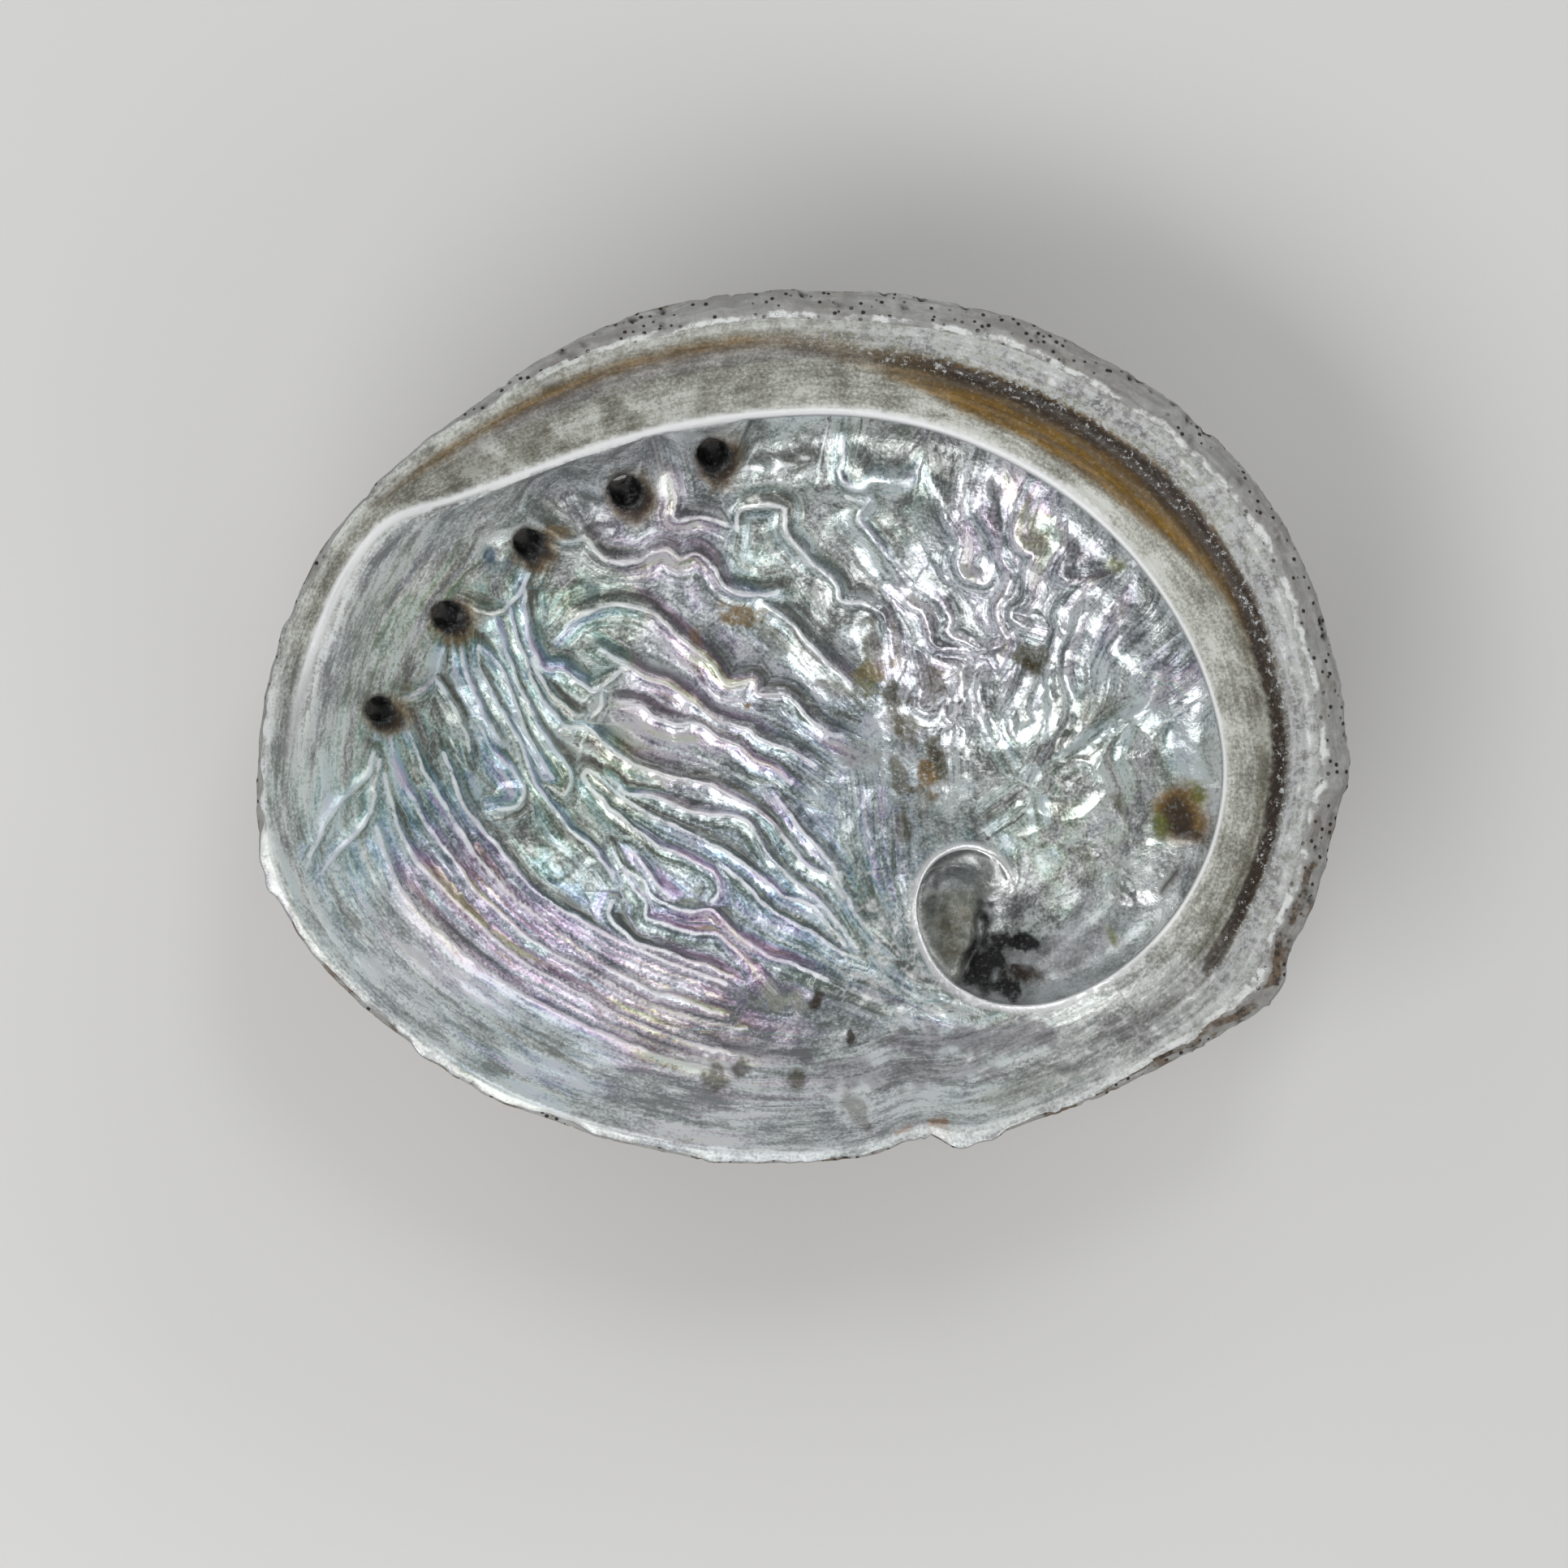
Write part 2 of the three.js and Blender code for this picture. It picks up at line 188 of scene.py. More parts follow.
def toMetres(points):
    moved = np.array(points, float)
    moved[:, 0] = (moved[:, 0] - drawingMiddle[0]) * unit + (shellLow.x + shellHigh.x) / 2
    moved[:, 1] = (moved[:, 1] - drawingMiddle[1]) * unit + (shellLow.y + shellHigh.y) / 2
    moved[:, 2] = moved[:, 2] * unit + shellLow.z
    return moved


def waves(p, size, seed, count=28):
    rng = np.random.default_rng(seed)  # a smooth random field, about -1 to 1
    p = np.asarray(p, float)
    turns = rng.normal(size=(count, p.shape[1])) * (2.2 / size)
    phases = rng.uniform(0, 2 * np.pi, count)
    return np.cos(p @ turns.T + phases).sum(1) * math.sqrt(2 / count) * 0.6


def nearestOn(line, p, chunk=3000):
    a, b = line[:-1, :2], line[1:, :2]
    d = b - a
    dd = (d**2).sum(1) + 1e-12
    found = {k: np.zeros(len(p)) for k in ("distance", "side", "share", "rise", "x", "y")}
    for start in range(0, len(p), chunk):
        q = p[start : start + chunk]
        rel = q[:, None, :] - a[None]
        along = np.clip((rel * d[None]).sum(2) / dd[None], 0, 1)
        off = rel - along[..., None] * d[None]
        far = (off**2).sum(2)
        k = far.argmin(1)
        i = np.arange(len(q))
        o, t = off[i, k], along[i, k]
        s = slice(start, start + len(q))
        found["distance"][s] = np.sqrt(far[i, k])
        cross = d[k, 0] * o[:, 1] - d[k, 1] * o[:, 0]
        found["side"][s] = np.where(cross >= 0, 1, -1)
        found["share"][s] = (k + t) / len(a)
        found["rise"][s] = mix(line[k, 2], line[k + 1, 2], t)
        found["x"][s], found["y"][s] = q[:, 0] - o[:, 0], q[:, 1] - o[:, 1]
    return found


lip = throughPoints(lipLine, closed=True, count=form["lipStations"] + 1)[:-1]
edge = throughPoints(shelfEdge, count=401)
holeRidgeLine = throughPoints(ridgeLine, count=161)


def lipReach(centre, angle):
    around = np.arctan2(lip[:, 1] - centre[1], lip[:, 0] - centre[0])
    order = np.argsort(around)
    reach = awayFrom(lip, *centre)[order]
    around = around[order]
    around = np.r_[around[-1] - 2 * np.pi, around, around[0] + 2 * np.pi]
    return np.interp(angle, around, np.r_[reach[-1], reach, reach[0]])


def bowlPlace(p):
    dx, dy = p[:, 0] - form["bowlCentre"][0], p[:, 1] - form["bowlCentre"][1]
    angle = np.arctan2(dy, dx)
    reach = lipReach(form["bowlCentre"], angle)
    return angle, reach, np.hypot(dx, dy) / reach


def rimHeight(angle):
    return form["rim"] + form["rimWave"] * np.cos(2 * angle)


def bowlHeight(p):
    angle, _, share = bowlPlace(p)
    floor = form["wall"] - form["wear"]
    return floor + (rimHeight(angle) - floor) * share ** form["bowlPower"]


def floorHeight(p):
    deep = 1 - smooth(awayFrom(p, *form["hollowCentre"]), 0, form["hollowReach"])
    return bowlHeight(p) - form["hollowDepth"] * deep


def curlAt(share):
    return smooth(share, form["curlStarts"], form["curlFull"])


def gapToHoles(p):
    return np.min([awayFrom(p, x, y) - r for x, y, r in holes], axis=0)


def insidePoints(p):
    floor = floorHeight(p)
    near = nearestOn(edge, p)
    foot = np.column_stack([near["x"], near["y"]])
    crest = floorHeight(foot) + near["rise"]
    curl = curlAt(near["share"])
    ends = between(near["share"], 0, 0.1, 0.97, 1)
    angle, reach, share = bowlPlace(p)
    toLip = np.maximum(0, (1 - share) * reach)
    across = near["distance"] / (near["distance"] + toLip + 1e-6)
    shelf = mix(crest, rimHeight(angle), across)
    flank = softMax(floor, crest - form["crestFlank"] * near["distance"], form["crestSoft"])
    shelfZ = mix(floor, mix(shelf, flank, curl), ends)
    t = np.clip(near["distance"] / mix(form["wallBand"], form["curlBand"], curl), 0, 1)
    back = form["undercut"] * smooth(near["rise"], *form["undercutRise"]) * mix(1, form["curlUndercut"], curl)
    shift = (near["distance"] + 1.4 * back * np.sin(np.pi * t)) * (1 - smooth(t, 0.3, 1))
    gap = gapToHoles(p)
    stands = smooth(near["rise"], 1.5, 4.5) * smooth(gap, 0.5, 5)
    push = ends * stands * np.minimum(shift, near["distance"] + back)
    way = (foot - p) / (near["distance"][:, None] + 1e-6)
    wall = ends * np.maximum(smooth(gap, 0.2, 3.5), 1 - smooth(near["distance"], 0.2, 1.2))
    wallZ = mix(floor, mix(crest, floor, smooth(t, 0, 0.75)), wall)
    onShelf = near["side"] > 0
    at = np.where(onShelf[:, None], p, p + way * push[:, None])
    z = np.where(onShelf, shelfZ, wallZ)
    facts = dict(near, across=across, curl=curl, onShelf=onShelf, toLip=toLip)
    return np.column_stack([at, z]), facts


def spireRelief(p):
    dx, dy = p[:, 0] - form["spireCentre"][0], p[:, 1] - form["spireCentre"][1]
    r, angle = np.hypot(dx, dy), np.arctan2(dy, dx)
    turns = np.log((r + 0.5) / form["spireReach"]) / (form["whorlGrowth"] * 2 * np.pi) - angle / (2 * np.pi)
    whorl = turns - np.floor(turns)
    mound = form["spireRise"] * (1 - smooth(r, 0.15 * form["spireReach"], form["spireReach"]))
    return mound * (1 - 0.3 * np.abs(2 * whorl - 1) ** 6)


def backPoints(p):
    step = 0.5
    angle, _, share = bowlPlace(p)
    slopeX = (bowlHeight(p + [step, 0]) - bowlHeight(p - [step, 0])) / (2 * step)
    slopeY = (bowlHeight(p + [0, step]) - bowlHeight(p - [0, step])) / (2 * step)
    up = np.column_stack([-slopeX, -slopeY, np.ones(len(p))])
    up /= np.linalg.norm(up, axis=1)[:, None]
    shelfSide = smooth(np.cos(angle - form["shelfSide"]), -0.25, 0.5)
    lipThick = mix(form["outerLip"], form["shelfLip"], shelfSide)
    toRidge = nearestOn(holeRidgeLine, p)["distance"]
    raised = form["holeRidge"] * bell(toRidge, form["holeRidgeWidth"]) * smooth(1 - share, 0, 0.1)
    thick = mix(form["wall"], lipThick, smooth(share, 0.65, 0.95)) + raised + spireRelief(p)
    at = np.column_stack([p, bowlHeight(p)]) - up * thick[:, None]
    at[:, 2] = np.maximum(at[:, 2], 0)
    return at, dict(share=share, angle=angle, shelfSide=shelfSide, up=up)


def hexPoints(step, outline):
    reach = np.abs(outline).max() + step
    rows = np.arange(-reach, reach, step * 0.866)
    cols = np.arange(-reach, reach, step)
    x, y = np.meshgrid(cols, rows)
    x = x + (np.arange(len(rows)) % 2)[:, None] * step / 2
    return np.column_stack([x.ravel(), y.ravel()])


def planMesh(step, boundary, lines, circles, shelfStep=None):
    grid = hexPoints(step, boundary)
    if shelfStep:
        coarse = hexPoints(shelfStep, boundary)
        fineNear, coarseNear = nearestOn(edge, grid), nearestOn(edge, coarse)
        grid = np.vstack([
            grid[(fineNear["side"] < 0) | (fineNear["share"] > form["coarseUpTo"])],
            coarse[(coarseNear["side"] > 0) & (coarseNear["share"] <= form["coarseUpTo"])],
        ])
    _, _, share = bowlPlace(grid)
    grid = grid[share < 1]
    clear = np.ones(len(grid), bool)
    for line in [np.vstack([boundary, boundary[:1]])] + lines:
        flat = np.column_stack([line[:, :2], np.zeros(len(line))])
        clear &= nearestOn(flat, grid)["distance"] > 0.5 * step
    for x, y, outline in circles:
        clear &= awayFrom(grid, x, y) > awayFrom(outline, x, y).max() + 0.4 * step
    grid = grid[clear]
    start = n = len(boundary)
    points, rings = [boundary], []
    edges = [(k, (k + 1) % n) for k in range(n)]
    for _, _, outline in circles:
        m = len(outline)
        points.append(outline)
        edges += [(start + k, start + (k + 1) % m) for k in range(m)]
        rings.append(np.arange(start, start + m))
        start += m
    for line in lines:
        points.append(line[:, :2])
        edges += [(start + k, start + k + 1) for k in range(len(line) - 1)]
        start += len(line)
    points.append(grid)
    allPoints = np.vstack(points)
    made = delaunay_2d_cdt([Vector(q) for q in allPoints], edges, [], 1, 1e-6)
    verts = np.array([tuple(v) for v in made[0]])
    faces = np.array([f for f in made[2] if len(f) == 3])
    source = {o: i for i, origin in enumerate(made[3]) for o in origin}
    middle = verts[faces].mean(1)
    keep = np.ones(len(faces), bool)
    for x, y, outline in circles:
        inner = awayFrom(outline, x, y)
        around = np.arctan2(outline[:, 1] - y, outline[:, 0] - x)
        order = np.argsort(around)
        here = np.arctan2(middle[:, 1] - y, middle[:, 0] - x)
        limit = np.interp(here, around[order], inner[order], period=2 * np.pi)
        keep &= awayFrom(middle, x, y) > limit
    border = np.array([source[k] for k in range(n)])
    rings = [np.array([source[int(k)] for k in ring]) for ring in rings]
    return verts, faces[keep], border, rings


def holeOutline(x, y, radius, seed, count=26):
    rng = np.random.default_rng(seed)
    turn = np.linspace(0, 2 * np.pi, count, endpoint=False)
    bumps = sum(rng.normal() * np.cos(k * turn + rng.uniform(0, 6.28)) / k for k in (2, 3, 5))
    r = radius * (1 + 0.06 * bumps)
    return np.column_stack([x + r * np.cos(turn), y + r * np.sin(turn)])


lipWear = {
    "broad": (7.0, 0.35),  # size and height of the waves
    "fine": (2.4, 0.2),
    "chips": (3.0, 0.45),
    "lumps": [  # x, y, half width, how far it stands out
        (76.5, -6.5, 3.6, 1.3), (75.5, -15, 3, -1.0), (74.6, -24.4, 1.6, 1.2), (70, -31, 3, -0.9),
        (65.5, -38.6, 4.4, 2.4), (56, -45, 3, 0.6), (24, -58, 2.4, 0.8), (17.5, -57.6, 1.8, 1.0),
        (-33, -57, 2.0, 0.4), (-52, -47.5, 2.2, 0.5), (-59, -42.6, 1.2, -0.5), (-77.8, -10, 1.6, -0.6),
        (-76.4, -20, 2.4, 0.6), (-10, -61, 3, 0.4),
    ],
}
broadWaves, fineWaves, chips = (
    waves(lip[:, :2], lipWear[name][0], 11 + k) for k, name in enumerate(("broad", "fine", "chips"))
)
ragged = broadWaves * lipWear["broad"][1] + fineWaves * lipWear["fine"][1]
lowerRight = smooth(lip[:, 0] - 0.4 * lip[:, 1], -10, 40)
ragged += lipWear["chips"][1] * smooth(chips, 0.25, 0.4) * lowerRight
for x, y, halfWidth, out in lipWear["lumps"]:
    ragged += out * bell(awayFrom(lip, x, y) - 2.5, halfWidth)
outward = lip[:, :2] - np.array(form["bowlCentre"])
outward /= np.linalg.norm(outward, axis=1)[:, None]
circles = [(x, y, holeOutline(x, y, r, 40 + k)) for k, (x, y, r) in enumerate(holes)]
edgeOnMesh = throughPoints(shelfEdge, step=form["edgeStep"])[3:]
along = np.gradient(edgeOnMesh[:, :2], axis=0)
leftward = np.column_stack([-along[:, 1], along[:, 0], np.zeros(len(along))])
leftward /= np.linalg.norm(leftward, axis=1)[:, None]
beadLines = [edgeOnMesh[4:-6] + leftward[4:-6] * off for off in form["beadOffsets"]]
insidePlan, insideFaces, insideBorder, insideRings = planMesh(
    form["insideStep"], lip[:, :2], [edgeOnMesh] + beadLines, circles, form["shelfStep"]
)
backCircles = [(x, y, np.array([x, y]) + (outline - [x, y]) * form["holeTaper"]) for x, y, outline in circles]
backPlan, backFaces, backBorder, backRings = planMesh(form["backStep"], lip[:, :2], [], backCircles)
insideAt, insideFacts = insidePoints(insidePlan)
backAt, backFacts = backPoints(backPlan)
print("plan meshes:", len(insideFaces), "faces inside,", len(backFaces), "on the back")

nacreFolds = {
    "strong": [  # crests that stand highest, as plan points
        [(-36, 15.5), (-33.5, 18), (-28, 19.2), (-23, 17.8), (-20.3, 15.5), (-17, 12.5), (-14.5, 10.5),
         (-12, 7.3), (-8, 7.8), (-7.8, 6.2), (-3, 5.4), (0, 2.3), (2.5, 0.4), (5, -0.8)],
        [(-33, 28.8), (-30, 25.7), (-25, 25.8), (-21.3, 27.4), (-19, 26), (-16.5, 26.6), (-14.2, 24.8),
         (-12.2, 22), (-7.5, 20.7), (-4.5, 21)],
        [(-8, 20.3), (-5, 18.4), (-2.3, 16.4), (0.3, 13.3), (3.3, 10.2), (6.5, 7.2)],
        [(-10.5, 30), (-10, 32.8), (-7, 34), (-3.5, 33.5), (-3.4, 30.4), (-1.2, 27.6), (0.5, 25.4),
         (3.3, 23.4), (4.6, 21.8), (5, 20), (8, 19.6), (11, 18.2), (12.2, 15.5), (13, 11)],
        [(5.5, 35), (8.6, 34), (7.3, 31.8), (9.3, 29.6), (11.3, 27.4), (12.8, 25), (14.2, 23.2)],
        [(-28.4, 4.6), (-24.8, 3.8), (-22.3, 2), (-19.5, 1.2), (-15.8, 1), (-13.3, -0.8), (-10.4, -2),
         (-8, -4.2), (-5, -5.6), (-2.6, -7.6)],
        [(-36, 0.9), (-33, 0.6), (-30.7, -1.2), (-28.5, -3.3), (-24.8, -5.3), (-20.5, -6.7),
         (-16.5, -7.5), (-12.5, -9), (-9, -10.9), (-5.5, -13.3), (-3, -16.5), (-0.5, -19.6),
         (3.5, -21.8), (5.5, -24.5)],
        [(-33.4, -6.6), (-33, -5.6), (-31.2, -6.6), (-28.2, -9.4), (-24.6, -11.9), (-20, -14),
         (-16, -15.9), (-12.5, -18), (-9, -20.2), (-6, -22.4), (-3.5, -24.7), (0.5, -26), (3, -28.5),
         (5.5, -31.5)],
        [(-33.4, -6.6), (-31.6, -9.3), (-28, -12.8), (-24.8, -15.3), (-21.5, -17.5), (-18.5, -18.6),
         (-16, -19.8), (-13.8, -21.5), (-13.2, -23.4), (-14.2, -25)],
        [(-29.5, -6.6), (-27.3, -8.8), (-24, -9.5), (-20.5, -10.6), (-16, -12.2), (-11.5, -12.5),
         (-8.4, -13.9), (-6.8, -16.8), (-4.6, -19.8), (-2, -22.6), (1.6, -25.2), (4.6, -28.4), (7, -31.8)],
        [(-4.6, -9.8), (-3, -11.8), (-1, -14.6), (1.5, -17.3), (3.8, -20), (5.3, -22.8), (6.8, -25.8),
         (9, -28.8), (12, -32)],
        [(-41.8, 21), (-41.6, 16), (-40.6, 11.5), (-39.2, 9.4), (-36.2, 9.2), (-34.2, 7.4), (-32, 6.4),
         (-29.6, 7.8), (-27, 10)],
        [(16.5, 38.5), (19.6, 35.4), (20.4, 32.6), (22.2, 29.6), (23, 27.6), (22.7, 25), (24, 23),
         (26.6, 22.4), (27, 24.2)],
        [(30.6, 38), (31.2, 34.6), (31.6, 32), (30.6, 29.6), (31.8, 27.4), (33.8, 26.6), (32.8, 23.4),
         (32.6, 20.2), (30.6, 18), (31.8, 16.4), (34.6, 15.2)],
        [(42.4, 20.6), (40.8, 17.4), (40, 14.6), (38.4, 11.8), (38.6, 8.6), (39.4, 5), (39, 1.6),
         (37.4, -1.6), (35.6, -4.6), (34, -8)],
        [(52.4, 9.6), (51.4, 6), (49.6, 3), (46.6, 1.6), (43.6, -0.6), (40.6, -2.8), (37.6, -4),
         (35, -5.8), (33.6, -8.4), (33.8, -10.6)],
    ],
    "plain": [
        [(-31, 12.5), (-27.5, 10.4), (-24.6, 8.4), (-20.5, 7), (-16.5, 4), (-13.5, 1.8), (-9, 0.4),
         (-6, -1.6), (-2.5, -2.6), (1, -5)],
        [(8.3, -9), (8.8, -13), (9.6, -17.5), (10.6, -21.5), (12.3, -26), (14.2, -30.5)],
        [(10.3, -10.5), (10.6, -15), (11.4, -20), (13.3, -26), (15, -31)],
        [(12.8, -13.5), (13.2, -17), (13.6, -21.5), (14.6, -26.5), (15.8, -31)],
        [(-46, 17), (-45, 13.5), (-43.8, 9), (-42, 5), (-40, 1), (-38.3, -2), (-36.2, -4.6),
         (-35.2, -7), (-36.2, -9.2), (-38.3, -8)],
        [(-48.4, 12.8), (-46.6, 11), (-44.8, 7.5), (-43.2, 4), (-42.2, 1.2), (-40.8, -2),
         (-39.2, -4.6), (-37.8, -6.8)],
        [(-48.4, 12.8), (-48.4, 9.5), (-46.8, 5.8), (-44.6, 1.8), (-42.6, -1.6), (-41.6, -5),
         (-40, -8.5), (-37.5, -11.5), (-35.8, -14), (-33.6, -16), (-31, -18.6), (-28.6, -22)],
        [(-41, 10.8), (-39.6, 8.2), (-38, 5.6), (-35.8, 3.8), (-34, 2.3), (-33.2, 2.6)],
        [(-30.6, 6.6), (-31, 4), (-32.2, 2.3)],
        [(-44, 19.5), (-43.2, 15), (-42.2, 11.5), (-40.6, 7.2), (-38.6, 3.8), (-36.4, 1.4), (-33.5, 0.6)],
        [(-48.4, 1), (-46.6, -2.4), (-44, -5.6), (-42.4, -8.6), (-43, -10.6), (-45.6, -11.4)],
        [(-28.6, -17.6), (-27.4, -20.4), (-24.8, -21.8), (-23.6, -24.2), (-20.5, -26), (-17.5, -26.8),
         (-14.4, -26.6), (-12, -28.8), (-9.6, -31), (-5.6, -33.4), (-1.5, -34.8), (2.8, -36.6)],
        [(-27.4, -20.4), (-25.8, -23.2), (-24, -25.6), (-24, -27.6), (-20.4, -28.8), (-16.5, -29.8),
         (-13.4, -30), (-11, -32.2), (-9, -34), (-7, -36.2)],
        [(-28.8, -24.8), (-29.6, -27), (-27.4, -29.8), (-25, -31.4), (-21.6, -32.4), (-18.6, -33.6),
         (-15, -34.6), (-11, -36.2)],
        [(-26.6, -17), (-24.4, -19.6), (-22.6, -22.6), (-20.6, -24.4)],
        [(-12.5, -20), (-9, -23), (-5.5, -26.6), (-2, -28.4), (1.5, -30.4), (5, -32.8), (8, -33.6)],
        [(10, -33.4), (13, -35.6), (16.5, -37.8), (20, -38.8), (24, -40.5)],
        [(8.6, -38.6), (12, -40), (17, -41), (22, -42)],
        [(24.4, 36), (24.8, 33.6), (27, 31), (28.4, 28.6), (29, 26), (30.4, 24), (29.6, 21.2),
         (28.4, 18.6), (28.8, 16.6), (29.6, 13.6), (28.4, 11)],
        [(34.6, 31.6), (36.4, 28.6), (38.4, 26.4), (37.4, 23.6), (39, 22.4), (42.6, 21.6), (41, 24.4),
         (39.6, 27)],
        [(39.6, 21), (37.4, 18), (37.6, 15.2), (36.6, 12), (36.2, 8), (36.4, 4), (35.8, 0.4)],
        [(45.2, 20), (46.4, 16), (45.4, 12.6), (43.8, 9.4), (43.4, 7.6)],
        [(47, 1.4), (46, -1.2), (45.2, -3.4), (45.8, -5.4)],
        [(56.4, 8.6), (55, 4), (53.4, 0.6), (54, -4)],
        [(13.4, 20.8), (15, 19.4), (17.4, 18), (18.4, 15.4), (18.8, 13.4), (22.4, 12.8), (26.4, 11.6),
         (27.4, 10.6)],
        [(17.6, 21), (20, 19.4), (21.2, 17), (21, 15.2), (23, 13.8), (27, 12.4), (29.4, 13.6), (29, 16.4)],
        [(16.4, 10.4), (17.2, 7), (16.6, 4), (18.2, 3.2), (20.6, 4.6), (21, 2.4), (23.6, 0.6), (21.8, -3)],
        [(20, 10.8), (23, 9.6), (23.2, 6.4), (23, 3), (21.6, 0), (21.6, -3.6)],
        [(26.6, 10.4), (25.8, 6), (27.4, 2), (28, -0.5)],
        [(31.8, 8.2), (31, 5.6), (29.6, 3), (28.6, 0), (30, -2.6)],
        [(34.4, 6.6), (33.4, 4), (34, 1.8), (32, 0)],
        [(28.6, -12), (31.6, -10), (34, -8)],
        [(-20.4, 37.4), (-19.6, 34), (-19.8, 31.6), (-16, 32), (-12, 30.6)],
        [(-9.4, 38.8), (-4, 39.4), (0, 40.4)],
        [(5, 43), (5.4, 40.6), (4.8, 37.6), (7.8, 36.2), (9.4, 37.6), (13.6, 37.4), (16.4, 38.6)],
        [(-39.5, 30), (-36, 28.5), (-32, 28.3)],
        [(-50, 18.6), (-47, 17.6), (-44.4, 18.4), (-42, 21.4), (-41, 23.4)],
        [(-60, 5), (-57.6, 5.6), (-55.4, 7.6), (-54.2, 9.8), (-53.4, 12)],
        [(-54.6, 8), (-53, 5), (-51.6, 2.4), (-50.6, 0), (-49.9, -2.6)],
        [(-51, 12.4), (-50.4, 8.6), (-49.2, 5), (-47.4, 1.8), (-45.6, -1)],
        [(-63.4, -3), (-64.6, -6.4), (-66.4, -8), (-68.6, -11), (-70.4, -14.4), (-72, -18)],
        [(-62.6, -4), (-63.4, -8), (-64, -12), (-66, -15), (-68.4, -17.6), (-70.2, -20.6)],
    ],
    "stream": [  # long folds that run side by side, with finer ones laid between them
        [(-53.5, -3), (-52, -8.4), (-50, -11.8), (-48, -14.4), (-45.4, -17.6), (-43, -20.6),
         (-40, -23.8), (-36, -26.6), (-31, -29.4), (-26.5, -31.6), (-20, -34.4), (-12, -37.2)],
        [(-59, 2.2), (-57.8, -1.8), (-56.4, -5.6), (-54.4, -9.2), (-52.2, -12.8), (-50, -16.6),
         (-46.8, -20.8), (-43.6, -24.2), (-39.6, -27.6), (-35.2, -31), (-30.4, -34.4), (-25, -37.2),
         (-19, -39.4), (-12.5, -41.6)],
        [(-61, -0.6), (-60.3, -5), (-58.8, -8.6), (-56.8, -12), (-55, -15), (-52.5, -18.4),
         (-49.6, -22.4), (-46.2, -26), (-42, -29.8), (-38, -32.4), (-33, -35), (-28, -37.8),
         (-22, -40.6), (-15.5, -42.6), (-9, -43.6)],
        [(-62, -6), (-60, -13.6), (-58.2, -17.4), (-55.4, -21), (-51.8, -25), (-47.6, -28.8),
         (-43.4, -32.6), (-38.8, -35.6), (-33.4, -38.6), (-27.4, -41.6), (-21.4, -44), (-15, -46.4),
         (-8, -47.6)],
        [(-63, -14), (-60, -22), (-57.4, -25.6), (-54, -29), (-50, -32.8), (-45, -36.4), (-39.4, -39.6),
         (-33.4, -42.8), (-27, -45.6), (-20.4, -48), (-12, -49.6)],
    ],
    "strongSize": (1.15, 0.62),  # height and half width
    "plainSize": (0.85, 0.55),
    "streamSize": (0.6, 0.55),
    "fineSize": (0.34, 0.42),
    "fineBetween": 3,
    "seed": 7,
}
foldInputs = {  # heights and sizes that the node tree asks for
    "Wobble": 0.55, "Wobble size": 3.2, "Ripple height": 0.3, "Ripple size": 3.4,
    "Swell height": 0.7, "Swell size": 9.5,
}
crestShape = {
    "steepSide": (0.5, 0.86, 0),  # the way a crest's steep side faces, in plan
    "falls": (-0.3, -0.62),  # how fast it falls away on its gentle side and on its steep one
    "sharpPower": 1.7,
    "sharpShare": 0.36,
    "beads": (1.1, 0.45),  # how much the height varies along a crest, and its least share
    "leeShadeAt": 2.4,  # middle of the painted shade band behind a crest, in half widths
    "leeShadeSharpness": 0.55,
}
crust = {"Crust height": 0.4, "Crust size": 3.2, "Pit depth": 0.45, "Pit size": 2.6}


def foldLines():
    rng = np.random.default_rng(nacreFolds["seed"])
    lines = []
    for kind in ("strong", "plain", "stream"):
        for points in nacreFolds[kind]:
            lines.append((throughPoints(points, step=0.4), nacreFolds[kind + "Size"]))
    streams = [throughPoints(points, count=220) for points in nacreFolds["stream"]]
    for first, second in zip(streams, streams[1:]):
        for k in range(nacreFolds["fineBetween"]):
            share = (k + 1) / (nacreFolds["fineBetween"] + 1) + rng.uniform(-0.06, 0.06)
            start, stop = sorted(rng.integers(0, 220, 2))
            if stop - start < 50:
                start, stop = max(0, start - 40), min(219, stop + 40)
            line = mix(first, second, share)[start:stop]
            drift = np.cumsum(rng.normal(size=len(line))) * 0.02
            line[:, 1] += drift - drift.mean()
            lines.append((line, nacreFolds["fineSize"]))
    return lines


def placed(name, data):
    made = bpy.data.objects.new(name, data)
    bpy.context.scene.collection.objects.link(made)
    return made


def meshPiece(name, verts, faces, edges=()):
    mesh = bpy.data.meshes.new(name)
    mesh.from_pydata([tuple(v) for v in verts], edges, [tuple(int(i) for i in f) for f in faces])
    return placed(name, mesh)


def numbersOn(piece, name, values):
    width = 1 if np.ndim(values) == 1 else np.shape(values)[1]
    kind, field = {1: ("FLOAT", "value"), 3: ("FLOAT_VECTOR", "vector"), 4: ("FLOAT_COLOR", "color")}[width]
    made = piece.data.attributes.new(name, kind, "POINT")
    made.data.foreach_set(field, np.ravel(values).astype(np.float32))


def setSockets(node, inputs):
    for name, value in inputs.items():
        if isinstance(value, bpy.types.NodeSocket):
            node.id_data.links.new(value, node.inputs[name])
        else:
            node.inputs[name].default_value = value


def addNode(tree, kind, inputs=None, **settings):
    node = tree.nodes.new(kind)
    for name, value in settings.items():
        setattr(node, name, value)
    setSockets(node, inputs or {})
    return node


def calc(tree, operation, *values):
    return addNode(tree, "ShaderNodeMath", dict(enumerate(values)), operation=operation).outputs[0]


def times(tree, first, *others):
    for other in others:
        first = calc(tree, "MULTIPLY", first, other)
    return first


def swung(tree, value, amount, base):
    # The base, moved up or down as the value lies over or under a half.
    return calc(tree, "MULTIPLY_ADD", calc(tree, "SUBTRACT", value, 0.5), amount, base)


